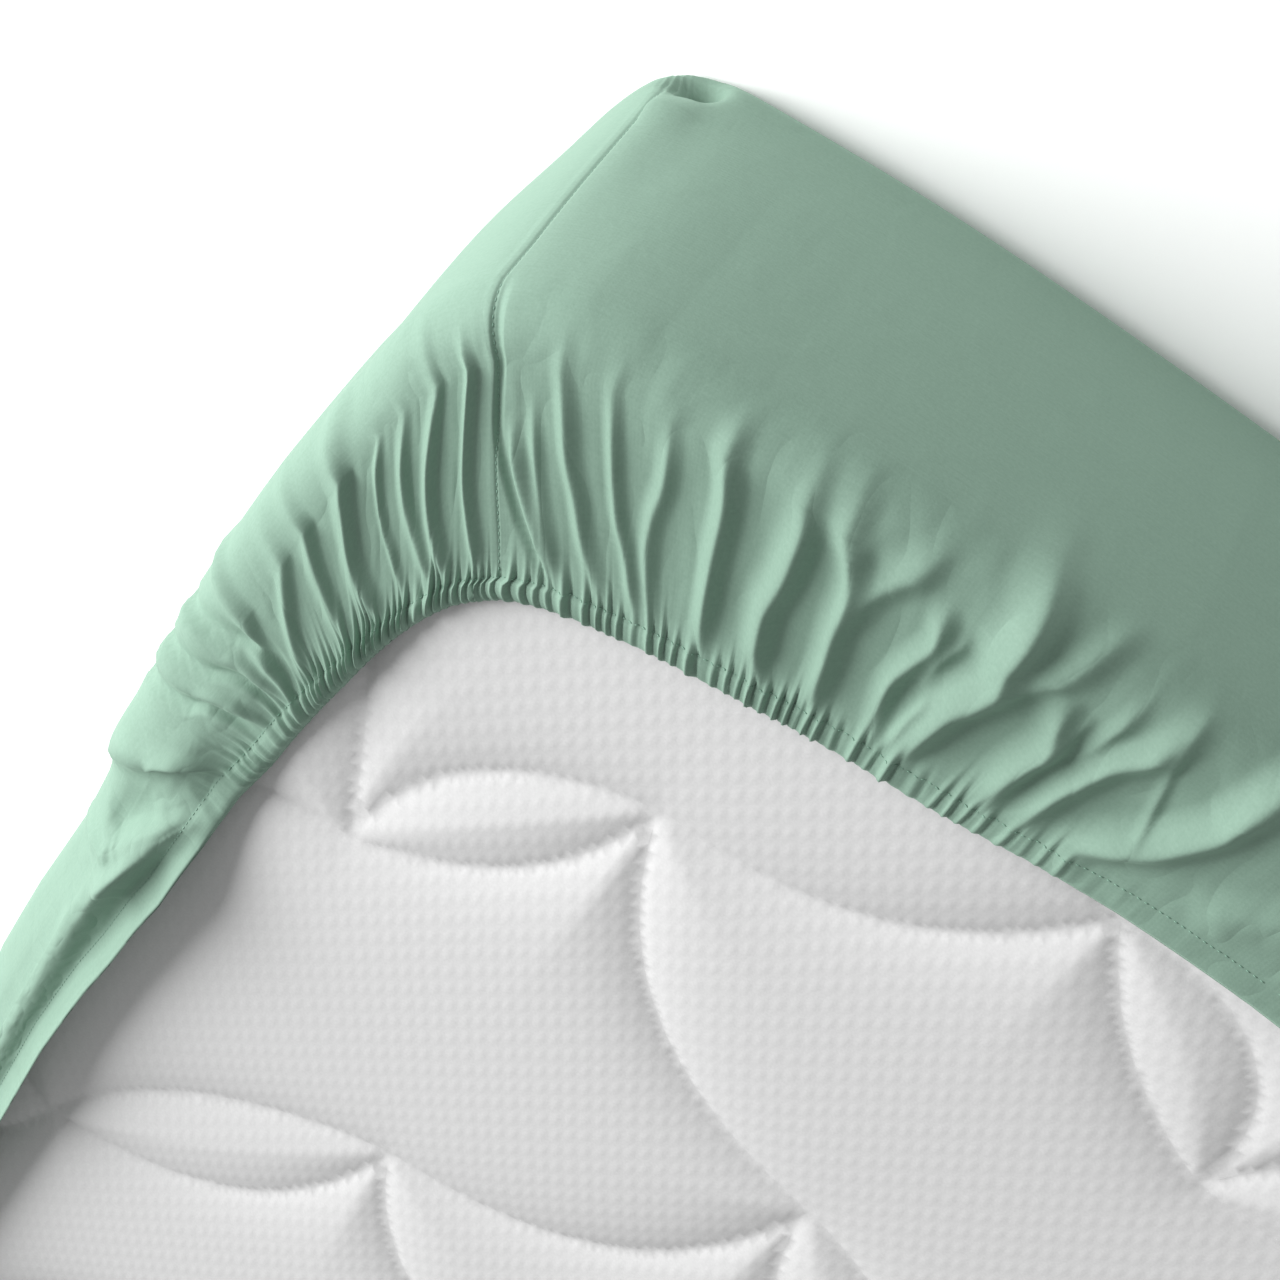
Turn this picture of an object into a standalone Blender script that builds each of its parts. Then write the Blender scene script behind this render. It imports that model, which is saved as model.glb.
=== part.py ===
"""A fitted sheet on a single mattress, lying on its sleeping face so that the hem shows.

The sheet is one piece of cloth: a panel under the mattress, four skirts that rise round its
sides, a seam up each corner, and a hem that turns in over the mattress's underside, drawn up
by elastic on both sides of each corner. The mattress is a plain rounded block whose underside
is quilted in arcs and leaves.

Metres, +Z up, origin on the floor under the middle. X runs across the mattress, Y along it.
A place near a corner is given as two distances: "across", inwards from the long side, and
"along", inwards from the end. A place on the sheet is a run, its distance round the mattress
from the corner seam, positive on the end and negative on the long side, and a station, its
place on the section from the panel up to the hem.
"""

import math
from dataclasses import dataclass

import bmesh
import bpy
from mathutils import Vector, kdtree

# Mattress
WIDTH = 0.90
LENGTH = 2.00
HEIGHT = 0.20               # from the floor to the cloth that lies on the underside
CORNER_SPREAD = 0.114       # twice the distance from a rounded corner to its square one
LOWER_EDGE_RADIUS = 0.020
UPPER_EDGE_RADIUS = 0.025

# Cloth
CLOTH = 0.0015
SIDE_GAP = 0.002            # the cloth stands this far off the mattress's sides and edges
UNDERSIDE_GAP = 0.0025      # and this far off its underside
SEAT_GAP = 0.0003           # the mattress lies this far above the panel
SIDE_CROWN = 0.004          # the sides bulge by this at half height
SIDE_BOW = 0.5              # how much of the corners' rounding is still felt half way along

# Hem, measured inwards from the square outline
HEM_ACROSS = 0.058          # plain hem on the long side
HEM_ALONG = 0.105           # plain hem on the end
SEAM_HEM_ACROSS = 0.122     # hem at the foot of the corner seam
SEAM_HEM_ALONG = 0.172
ELASTIC_ON_END = 0.36       # run of the elastic from the seam
ELASTIC_ON_SIDE = 0.385
BOW_FROM, BOW_TO = 0.8, 1.25    # shares of the elastic's run over which the hem turns straight
SLACK_FROM, SLACK_TO = 0.87, 1.2    # and over which the hem falls slack
STRIP_LIFT = 0.018          # the slack hem of the long side stands up by this
END_LIFT = 0.003
LIFT_CURVE = 1.5            # above 1, the cloth rises most close to the hem
CASING_START = 0.9          # share of the turned-in cloth where the elastic's tunnel starts
CASING_PUFF = 0.0025        # the tunnel is this much fatter than the cloth beside it
CASING_EDGE = 0.35          # share of that which is left at the hem's edge
GATHER_HEIGHT = 0.003       # of the small gathers along the elastic
CORNER_TIP = 0.015          # the seam's lower end stands out by this
TIP_SPREAD = 0.05
FOLD_RISE = 0.625           # share of its reach over which a fold grows to its full height
FOLD_EASE = 0.75            # share of the turned-in cloth where a fold starts to flatten
FOLD_AT_HEM = 0.55          # share of its height that a fold keeps at the hem

# Quilting on the underside
QUILT_PITCH = 0.20
QUILT_BULGE = 0.032         # of each arc from the line between its ends
QUILT_HEIGHT = 0.010
QUILT_SOFTNESS = 0.020
QUILT_ORIGIN = (0.0035, 0.322)    # a crossing, along the two diagonals from the square corner
QUILT_ROWS = range(-1, 15)
QUILT_COLUMNS = range(-11, 6)
QUILT_SAMPLES = 26
QUILT_SNAP = 0.36           # a grid point this share of a cell from a line is drawn onto it

# Mesh
TOP_CELLS_ACROSS = 30
TOP_CELLS_ALONG = 66
SHOWN_COLUMNS = 38          # on each side of the corner with the finest folds
OTHER_COLUMNS = 15
PLAIN_COLUMNS_SIDE = 4      # from the end of the elastic to the middle of a long side
PLAIN_COLUMNS_END = 1
ELASTIC_MARGIN = 1.08       # the close columns run this far past the elastic
SIDE_SHARE = 1.2            # height of the side in shares of the turned-in cloth
RING_POWER = 4              # how fast the underside's grid turns from square to rounded
MERGE = 1e-5                # points this close are one


@dataclass(frozen=True)
class Fold:
    """One ridge that the elastic draws up in the skirt."""
    run_at_hem: float       # from the corner seam
    run_at_edge: float      # where it crosses the mattress's upper edge
    half_width: float
    height: float
    reach: float            # share of the turned-in cloth that it crosses, over 1 down the side


FOLDS_ON_END = [
    #    at hem, at edge, half width, height, reach
    Fold(0.034, 0.028, 0.012, 0.0065, 0.85),
    Fold(0.057, 0.050, 0.013, 0.0060, 0.95),
    Fold(0.084, 0.078, 0.015, 0.0065, 0.95),
    Fold(0.114, 0.107, 0.016, 0.0065, 1.00),
    Fold(0.144, 0.130, 0.016, 0.0080, 1.00),
    Fold(0.182, 0.162, 0.017, 0.0100, 1.10),
    Fold(0.219, 0.200, 0.017, 0.0110, 1.10),
    Fold(0.259, 0.272, 0.020, 0.0140, 1.15),
    Fold(0.306, 0.299, 0.017, 0.0130, 1.05),
    Fold(0.334, 0.342, 0.014, 0.0100, 0.95),
    Fold(0.356, 0.392, 0.018, 0.0110, 1.10),
]
FOLDS_ON_SIDE = [
    Fold(-0.030, -0.030, 0.014, 0.0075, 1.10),
    Fold(-0.066, -0.052, 0.015, 0.0080, 1.15),
    Fold(-0.112, -0.088, 0.017, 0.0090, 1.15),
    Fold(-0.150, -0.128, 0.016, 0.0085, 1.10),
    Fold(-0.190, -0.168, 0.018, 0.0095, 1.10),
    Fold(-0.228, -0.214, 0.018, 0.0100, 1.10),
    Fold(-0.268, -0.262, 0.018, 0.0110, 1.20),
    Fold(-0.300, -0.300, 0.016, 0.0120, 1.20),
    Fold(-0.328, -0.336, 0.016, 0.0130, 1.20),
    Fold(-0.362, -0.384, 0.020, 0.0160, 1.20),
]


@dataclass(frozen=True)
class Corner:
    """One corner of the mattress, and how its folds differ from the tables."""
    x_sign: int
    y_sign: int
    columns: int
    spacing: float          # the folds' runs are multiplied by this
    fold_height: float      # and their heights by this


CORNERS = [
    Corner(+1, -1, SHOWN_COLUMNS, 1.00, 1.0),
    Corner(+1, +1, OTHER_COLUMNS, 0.94, 0.9),
    Corner(-1, +1, OTHER_COLUMNS, 0.97, 1.1),
    Corner(-1, -1, OTHER_COLUMNS, 0.91, 0.95),
]

# Half sizes of the square outline, a little outside the sides, which bow in towards corners
FELT_HALF_WAY = CORNER_SPREAD ** 2 / 4 * (1 + SIDE_BOW)
HALF_ACROSS = WIDTH / 2 - SIDE_CROWN + FELT_HALF_WAY / (LENGTH / 2)
HALF_ALONG = LENGTH / 2 - SIDE_CROWN + FELT_HALF_WAY / (WIDTH / 2)
# Runs from a seam to the middle of the end and of the long side
END_RUN = HALF_ACROSS - CORNER_SPREAD ** 2 / (4 * HALF_ACROSS)
SIDE_RUN = HALF_ALONG - CORNER_SPREAD ** 2 / (4 * HALF_ALONG)

# The mattress's faces
BEHIND_CLOTH = CLOTH + SIDE_GAP
SLEEPING_FACE = CLOTH + SEAT_GAP
UNDERSIDE = HEIGHT - CLOTH - UNDERSIDE_GAP

# The section's stations: part of the section, and the share of the way along that part
STATIONS = (
    [("lower edge", share) for share in (0.0, 0.5, 1.0)]
    + [("side", share) for share in (0.35, 0.7, 1.0)]
    + [("upper edge", share) for share in (0.5, 1.0)]
    + [("turned in", share) for share in (0.22, 0.44, 0.66, 0.84, 0.92, 1.0)]
)


def smooth(value, start=0.0, end=1.0):
    """Ease from 0 to 1 as the value goes from the start to the end."""
    share = min(max((value - start) / (end - start), 0.0), 1.0)
    return share * share * (3 - 2 * share)


def outline(run):
    """The (across, along) place of the mattress's outline at a run from the corner."""
    slant = math.hypot(run, CORNER_SPREAD)
    full = END_RUN if run > 0 else SIDE_RUN
    full_gap = (math.hypot(full, CORNER_SPREAD) - full) / 2
    near = (slant - abs(run)) / 2 + full_gap * SIDE_BOW * (run / full) ** 2
    far = (slant + abs(run)) / 2
    return (far, near) if run > 0 else (near, far)


def inward(run):
    """The unit direction from the outline into the mattress."""
    step = 1e-4
    before, after = outline(run - step), outline(run + step)
    direction = Vector((before[1] - after[1], after[0] - before[0]))
    return direction.normalized()


def slackness(run):
    """0 at the corner seam, 1 at the end of the elastic and beyond."""
    return run / ELASTIC_ON_END if run > 0 else -run / ELASTIC_ON_SIDE


def hem(run):
    """The (across, along) place of the hem's edge, drawn in towards the corner."""
    across, along = outline(run)
    corner_across, corner_along = outline(0.0)
    slack = slackness(run)
    pull = 1 - smooth(slack)
    bow = (SEAM_HEM_ACROSS - HEM_ACROSS) * (SEAM_HEM_ALONG - HEM_ALONG)
    bow *= 1 - smooth(slack, BOW_FROM, BOW_TO)
    if run > 0:
        across += (SEAM_HEM_ACROSS - corner_across) * pull
        return across, HEM_ALONG + bow / (across - HEM_ACROSS)
    along += (SEAM_HEM_ALONG - corner_along) * pull
    return HEM_ACROSS + bow / (along - HEM_ALONG), along


def fold_height(corner, run, share):
    """How far the folds lift the cloth at a share of the way from the upper edge to the hem.

    The share is negative on the side, below the edge's rounding.
    """
    total = 0.0
    for fold in FOLDS_ON_END if run > 0 else FOLDS_ON_SIDE:
        toward_hem = min(max(share, 0.0), 1.0)
        centre = fold.run_at_edge + (fold.run_at_hem - fold.run_at_edge) * toward_hem
        distance = abs(run - centre * corner.spacing) / fold.half_width
        from_start = (share - (1 - fold.reach)) / fold.reach
        if distance < 1 and from_start > 0:
            ridge = (1 + math.cos(math.pi * distance)) / 2
            growth = smooth(from_start, 0.0, FOLD_RISE)
            growth *= 1 - (1 - FOLD_AT_HEM) * smooth(share, FOLD_EASE, 1.0)
            total += fold.height * corner.fold_height * ridge * growth
    return total


def section_point(corner, run, station, column):
    """The place on the sheet's outer face at a run and a station."""
    part, share = station
    edge = Vector(outline(run))
    into = inward(run)
    depth, height = 0.0, 0.0
    if part == "lower edge":
        angle = share * math.pi / 2
        depth = LOWER_EDGE_RADIUS * (1 - math.sin(angle))
        height = LOWER_EDGE_RADIUS * (1 - math.cos(angle))
    elif part == "side":
        straight = HEIGHT - LOWER_EDGE_RADIUS - UPPER_EDGE_RADIUS
        height = LOWER_EDGE_RADIUS + share * straight
        depth = -SIDE_CROWN * math.sin(math.pi * share)
        depth -= fold_height(corner, run, (share - 1) * SIDE_SHARE)
    elif part == "upper edge":
        tilt = share * math.pi / 2
        folds = fold_height(corner, run, 0.0)
        radius = UPPER_EDGE_RADIUS + folds
        depth = UPPER_EDGE_RADIUS - radius * math.cos(tilt)
        height = HEIGHT - UPPER_EDGE_RADIUS + radius * math.sin(tilt)
    if part != "turned in":
        depth -= CORNER_TIP * math.exp(-(abs(run) + height) / TIP_SPREAD)
        return corner_to_world(corner, edge + into * depth, height)

    start = edge + into * UPPER_EDGE_RADIUS
    place = start.lerp(Vector(hem(run)), share)
    slack = smooth(slackness(run), SLACK_FROM, SLACK_TO)
    lift = (END_LIFT if run > 0 else STRIP_LIFT) * slack * share ** LIFT_CURVE
    height = HEIGHT + fold_height(corner, run, share) + lift
    if share > CASING_START:
        in_casing = 1.0 if share < 1.0 else CASING_EDGE
        gather = GATHER_HEIGHT * (1 - slack) * (column % 2)
        height += (CASING_PUFF + gather) * in_casing
    return corner_to_world(corner, place, height)


def corner_to_world(corner, place, height):
    """Turn (across, along) inwards from a corner into a point of the model."""
    x = corner.x_sign * (HALF_ACROSS - place[0])
    y = corner.y_sign * (HALF_ALONG - place[1])
    return Vector((x, y, height))


def runs_round_corner(corner):
    """Runs from the middle of the end, past the seam, to the middle of the long side."""
    elastic_end = ELASTIC_ON_END * ELASTIC_MARGIN
    elastic_side = ELASTIC_ON_SIDE * ELASTIC_MARGIN
    end = [elastic_end + (END_RUN - elastic_end) * i / PLAIN_COLUMNS_END
           for i in range(PLAIN_COLUMNS_END, 0, -1)]
    end += [elastic_end * i / corner.columns for i in range(corner.columns, 0, -1)]
    side = [-elastic_side * i / corner.columns for i in range(corner.columns)]
    side += [-elastic_side - (SIDE_RUN - elastic_side) * i / PLAIN_COLUMNS_SIDE
             for i in range(PLAIN_COLUMNS_SIDE + 1)]
    return end + side


def columns_round_sheet():
    """(corner, run) of every column of the sheet, once round the mattress."""
    columns = []
    for index, corner in enumerate(CORNERS):
        runs = runs_round_corner(corner)
        if index % 2:
            runs.reverse()
        columns += [(corner, run) for run in runs[:-1]]
    return columns


def make_sheet(collection):
    """The fitted sheet: a band of cloth laid round the mattress, closed by the panel."""
    columns = columns_round_sheet()
    mesh = bmesh.new()
    bmesh.ops.create_grid(mesh, x_segments=len(columns), y_segments=len(STATIONS) - 1, size=0.5)
    for vert in mesh.verts:
        column = round((vert.co.x + 0.5) * len(columns))
        row = round((vert.co.y + 0.5) * (len(STATIONS) - 1))
        corner, run = columns[column % len(columns)]
        vert.co = section_point(corner, run, STATIONS[row], column)
    bmesh.ops.remove_doubles(mesh, verts=mesh.verts, dist=MERGE)
    panel_rim = [edge for edge in mesh.edges
                 if edge.is_boundary and max(vert.co.z for vert in edge.verts) < MERGE]
    bmesh.ops.contextual_create(mesh, geom=panel_rim)
    bmesh.ops.recalc_face_normals(mesh, faces=mesh.faces)
    point_outwards(mesh)
    sheet = add_object("fitted_sheet", mesh, collection, cotton())
    thickness = sheet.modifiers.new("Cloth thickness", "SOLIDIFY")
    thickness.thickness = CLOTH
    thickness.offset = -1.0
    return sheet


def point_outwards(mesh):
    """Turn every face over if the panel's, the lowest one, faces up."""
    panel = min(mesh.faces, key=lambda face: face.calc_center_median().z)
    if panel.normal.z > 0:
        bmesh.ops.reverse_faces(mesh, faces=mesh.faces)


def quilt_lines():
    """Points along the quilting's stitch lines, in the model's X and Y.

    Crossings lie on a square net along the two diagonals. The lines between them are single
    arcs, or leaves of two arcs, turn about.
    """
    first = CORNERS[0]
    half = math.sqrt(0.5)
    points = []
    for row in QUILT_ROWS:
        for column in QUILT_COLUMNS:
            start = (QUILT_ORIGIN[0] + (column - 1) * QUILT_PITCH,
                     QUILT_ORIGIN[1] + row * QUILT_PITCH)
            leaf_here = (row + column) % 2 == 0
            lines = [((1, 0), QUILT_BULGE)]
            if leaf_here:
                lines.append(((1, 0), -QUILT_BULGE))
            if column % 3 or row % 2:
                lines.append(((0, 1), -QUILT_BULGE))
                if leaf_here:
                    lines.append(((0, 1), QUILT_BULGE))
            for (step_a, step_b), bulge in lines:
                for sample in range(QUILT_SAMPLES):
                    share = sample / QUILT_SAMPLES
                    bow = 4 * bulge * share * (1 - share)
                    a = start[0] + step_a * share * QUILT_PITCH + step_b * bow
                    b = start[1] + step_b * share * QUILT_PITCH + step_a * bow
                    point = corner_to_world(first, ((a + b) * half, (b - a) * half), 0.0)
                    points.append(point)
    return points


def outline_place(u, v):
    """The corner and run of a place on the rim of a square that reaches from -1 to 1."""
    corner = next(corner for corner in CORNERS
                  if (corner.x_sign > 0) == (u >= 0) and (corner.y_sign > 0) == (v >= 0))
    if abs(v) >= abs(u):
        return corner, END_RUN * (1 - abs(u))
    return corner, -SIDE_RUN * (1 - abs(v))


def mattress_point(place, depth, height):
    """A point of the mattress, a depth inwards from the sheet's outer face."""
    corner, run = place
    inset = Vector(outline(run)) + inward(run) * depth
    return corner_to_world(corner, inset, height)


def make_mattress(collection):
    """The mattress: a quilted underside, rounded edges, plain sides and a flat sleeping face."""
    mesh = bmesh.new()
    rim_place = mesh.verts.layers.int.new("rim place")
    bmesh.ops.create_grid(mesh, x_segments=TOP_CELLS_ACROSS, y_segments=TOP_CELLS_ALONG, size=1.0)
    places = []
    for vert in mesh.verts:
        if vert.is_boundary:
            vert[rim_place] = len(places)
            places.append(outline_place(round(vert.co.x, 5), round(vert.co.y, 5)))
    spread_underside(mesh)
    press_quilting(mesh)
    for depth, height in mattress_rows():
        rim = [edge for edge in mesh.edges if edge.is_boundary]
        made = bmesh.ops.extrude_edge_only(mesh, edges=rim)["geom"]
        for vert in made:
            if isinstance(vert, bmesh.types.BMVert):
                vert.co = mattress_point(places[vert[rim_place]], depth, height)
    rim = [edge for edge in mesh.edges if edge.is_boundary]
    bmesh.ops.contextual_create(mesh, geom=rim)
    bmesh.ops.recalc_face_normals(mesh, faces=mesh.faces)
    point_outwards(mesh)
    return add_object("mattress", mesh, collection, ticking())


def spread_underside(mesh):
    """Lay the grid out over the underside, square in the middle, rounded at the rim."""
    inset = BEHIND_CLOTH + UPPER_EDGE_RADIUS
    for vert in mesh.verts:
        u, v = round(vert.co.x, 5), round(vert.co.y, 5)
        reach = max(abs(u), abs(v), MERGE)
        rim = mattress_point(outline_place(u / reach, v / reach), inset, UNDERSIDE)
        ring = Vector((rim.x * reach, rim.y * reach, UNDERSIDE))
        square = Vector((u * (HALF_ACROSS - inset), v * (HALF_ALONG - inset), UNDERSIDE))
        vert.co = square.lerp(ring, reach ** RING_POWER)


def press_quilting(mesh):
    """Draw the nearest points onto the stitch lines, and press the lines down.

    Each square is then split between its lower corners, so that the lines stay unbroken.
    """
    points = quilt_lines()
    tree = kdtree.KDTree(len(points))
    for index, point in enumerate(points):
        tree.insert(point, index)
    tree.balance()
    snap = QUILT_SNAP * WIDTH / TOP_CELLS_ACROSS
    taken = set()
    for vert in mesh.verts:
        if vert.is_boundary:
            continue
        nearest, _, distance = tree.find(Vector((vert.co.x, vert.co.y, 0.0)))
        spot = (round(nearest.x / snap), round(nearest.y / snap))
        if distance < snap and spot not in taken:
            taken.add(spot)
            vert.co.x, vert.co.y = nearest.x, nearest.y
            distance = 0.0
        vert.co.z -= QUILT_HEIGHT * math.exp(-distance / QUILT_SOFTNESS)
    for face in list(mesh.faces):
        corners = list(face.verts)
        heights = [vert.co.z for vert in corners]
        first = 0 if heights[0] + heights[2] <= heights[1] + heights[3] else 1
        bmesh.utils.face_split(face, corners[first], corners[first + 2])


def mattress_rows():
    """(depth behind the sheet's face, height) of the rows from the underside to the floor."""
    rows = []
    for angle in (math.pi / 4, math.pi / 2):
        rows.append((BEHIND_CLOTH + UPPER_EDGE_RADIUS * (1 - math.sin(angle)),
                     UNDERSIDE - UPPER_EDGE_RADIUS * (1 - math.cos(angle))))
    for angle in (0.0, math.pi / 4, math.pi / 2):
        rows.append((BEHIND_CLOTH + LOWER_EDGE_RADIUS * (1 - math.cos(angle)),
                     SLEEPING_FACE + LOWER_EDGE_RADIUS * (1 - math.sin(angle))))
    return rows


def cotton():
    """Sage green cotton with a faint sheen."""
    return plain_material("Cotton", (0.235, 0.356, 0.287), 0.75)


def ticking():
    """Off-white knitted ticking."""
    return plain_material("Knitted ticking", (0.700, 0.700, 0.705), 0.90)


def plain_material(name, colour, roughness):
    """A Principled material of one linear colour."""
    material = bpy.data.materials.new(name)
    material.use_nodes = True
    shader = material.node_tree.nodes["Principled BSDF"]
    shader.inputs["Base Color"].default_value = (*colour, 1.0)
    shader.inputs["Roughness"].default_value = roughness
    shader.inputs["Metallic"].default_value = 0.0
    material.diffuse_color = (*colour, 1.0)
    return material


def add_object(name, mesh, collection, material):
    """Make a smooth-shaded object of a mesh."""
    data = bpy.data.meshes.new(name)
    mesh.to_mesh(data)
    mesh.free()
    data.shade_smooth()
    data.materials.append(material)
    made = bpy.data.objects.new(name, data)
    collection.objects.link(made)
    return made


def main():
    """Clear the scene and build the two pieces."""
    for old in list(bpy.data.objects):
        bpy.data.objects.remove(old, do_unlink=True)
    collection = bpy.data.collections.new("Fitted sheet on a mattress")
    bpy.context.scene.collection.children.link(collection)
    make_sheet(collection)
    make_mattress(collection)


main()
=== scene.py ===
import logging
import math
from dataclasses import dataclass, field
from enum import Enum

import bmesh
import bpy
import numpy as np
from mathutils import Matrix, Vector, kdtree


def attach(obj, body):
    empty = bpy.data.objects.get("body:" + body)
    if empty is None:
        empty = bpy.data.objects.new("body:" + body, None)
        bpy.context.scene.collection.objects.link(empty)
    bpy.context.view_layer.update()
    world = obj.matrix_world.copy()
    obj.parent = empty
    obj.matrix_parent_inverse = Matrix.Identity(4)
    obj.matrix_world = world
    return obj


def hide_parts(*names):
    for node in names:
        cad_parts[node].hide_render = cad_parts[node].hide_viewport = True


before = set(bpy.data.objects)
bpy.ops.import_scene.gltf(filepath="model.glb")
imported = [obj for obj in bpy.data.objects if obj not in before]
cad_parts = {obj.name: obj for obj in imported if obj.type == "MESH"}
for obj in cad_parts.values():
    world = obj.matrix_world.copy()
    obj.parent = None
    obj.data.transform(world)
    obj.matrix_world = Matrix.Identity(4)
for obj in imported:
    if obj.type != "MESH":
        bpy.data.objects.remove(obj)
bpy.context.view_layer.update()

# The looks of a fitted sheet on a single mattress, which lies on its sleeping face so that the
# elastic hem shows. The sheet is one piece of sage green cotton percale, drawn up by elastic on
# both sides of each corner. The mattress's underside is quilted in arcs and leaves.
#
# Metres, in the frame's axes: X across the mattress, Y along it, the floor at Z = 0. A place near
# a corner is given as "across", inwards from the long side, and "along", inwards from the end. A
# place on the cloth is a run, its distance round the mattress from the corner seam, positive on
# the end and negative on the long side, and a reach: from 0 where the cloth turns in over the
# underside to 1 at the hem, and below 0 down the rounded edge and the side.

LOG = logging.getLogger("fitted sheet")
MM = 0.001
CREST_ROUND = 0.16      # share of a fold's width that is rounded at its crest


def linear(code: str) -> tuple[float, float, float, float]:
    """Turn an sRGB hex colour into linear red, green, blue and alpha.

    Args:
        code: The colour as "#rrggbb".

    Returns:
        The linear colour, with an alpha of 1.
    """
    parts = [int(code[i:i + 2], 16) / 255 for i in (1, 3, 5)]
    flat = [c / 12.92 if c <= 0.04045 else ((c + 0.055) / 1.055) ** 2.4 for c in parts]
    return (*flat, 1.0)


def ease(value: np.ndarray | float, start: float = 0.0, end: float = 1.0) -> np.ndarray:
    """Ease from 0 to 1 as a value goes from the start to the end.

    Args:
        value: The value or values.
        start: Where the result leaves 0.
        end: Where the result reaches 1.

    Returns:
        The eased share, from 0 to 1.
    """
    share = np.clip((np.asarray(value, float) - start) / (end - start), 0.0, 1.0)
    return share * share * (3 - 2 * share)


def scatter(index: np.ndarray, seed: float) -> np.ndarray:
    """Give each whole number its own steady value from 0 to 1.

    Args:
        index: Whole numbers, such as the count of a gather.
        seed: Picks another set of values.

    Returns:
        A value from 0 to 1 for each number.
    """
    wave = np.sin(np.asarray(index, float) * 12.9898 + seed * 78.233) * 43758.5453
    return wave - np.floor(wave)


@dataclass(frozen=True)
class Bed:
    """The mattress's outline as the cloth lies on it, and its edges."""
    width: float = 0.90
    length: float = 2.00
    height: float = 0.20
    corner_spread: float = 0.114
    lower_radius: float = 0.020
    upper_radius: float = 0.025
    crown: float = 0.004
    bow: float = 0.5

    @property
    def half_across(self) -> float:
        """Half the width of the square outline."""
        felt = self.corner_spread ** 2 / 4 * (1 + self.bow)
        return self.width / 2 - self.crown + felt / (self.length / 2)

    @property
    def half_along(self) -> float:
        """Half the length of the square outline."""
        felt = self.corner_spread ** 2 / 4 * (1 + self.bow)
        return self.length / 2 - self.crown + felt / (self.width / 2)

    @property
    def end_run(self) -> float:
        """Run from a seam to the middle of the end."""
        return self.half_across - self.corner_spread ** 2 / (4 * self.half_across)

    @property
    def side_run(self) -> float:
        """Run from a seam to the middle of the long side."""
        return self.half_along - self.corner_spread ** 2 / (4 * self.half_along)

    def outline(self, run: np.ndarray) -> np.ndarray:
        """Find the outline's places round a corner.

        Args:
            run: Runs from the corner seam.

        Returns:
            One (across, along) row for each run.
        """
        slant = np.hypot(run, self.corner_spread)
        full = np.where(run > 0, self.end_run, self.side_run)
        gap = (np.hypot(full, self.corner_spread) - full) / 2
        near = (slant - np.abs(run)) / 2 + gap * self.bow * (run / full) ** 2
        far = (slant + np.abs(run)) / 2
        return np.stack([np.where(run > 0, far, near), np.where(run > 0, near, far)], axis=-1)

    def inward(self, run: np.ndarray) -> np.ndarray:
        """Find the unit directions from the outline into the mattress.

        Args:
            run: Runs from the corner seam.

        Returns:
            One (across, along) direction for each run.
        """
        step = 1e-4
        ahead = self.outline(run + step) - self.outline(run - step)
        turned = np.stack([-ahead[..., 1], ahead[..., 0]], axis=-1)
        return turned / np.linalg.norm(turned, axis=-1, keepdims=True)


@dataclass(frozen=True)
class Corner:
    """One corner of the mattress, and how its folds differ from the tables."""
    x_sign: int
    y_sign: int
    pitch: float            # between the cloth's columns
    spacing: float = 1.0    # the folds' runs are multiplied by this
    lift: float = 1.0       # and their heights by this
    gathers: float = 0.017  # from one small gather to the next, coarser where none is seen

    def world(self, bed: Bed, place: np.ndarray, height: np.ndarray) -> np.ndarray:
        """Turn (across, along) places and heights into points of the model.

        Args:
            bed: The outline that the places are measured from.
            place: One (across, along) row for each point.
            height: The points' heights over the floor.

        Returns:
            One (x, y, z) row for each point.
        """
        x = self.x_sign * (bed.half_across - place[..., 0])
        y = self.y_sign * (bed.half_along - place[..., 1])
        return np.stack([x, y, np.broadcast_to(height, x.shape)], axis=-1)


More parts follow.
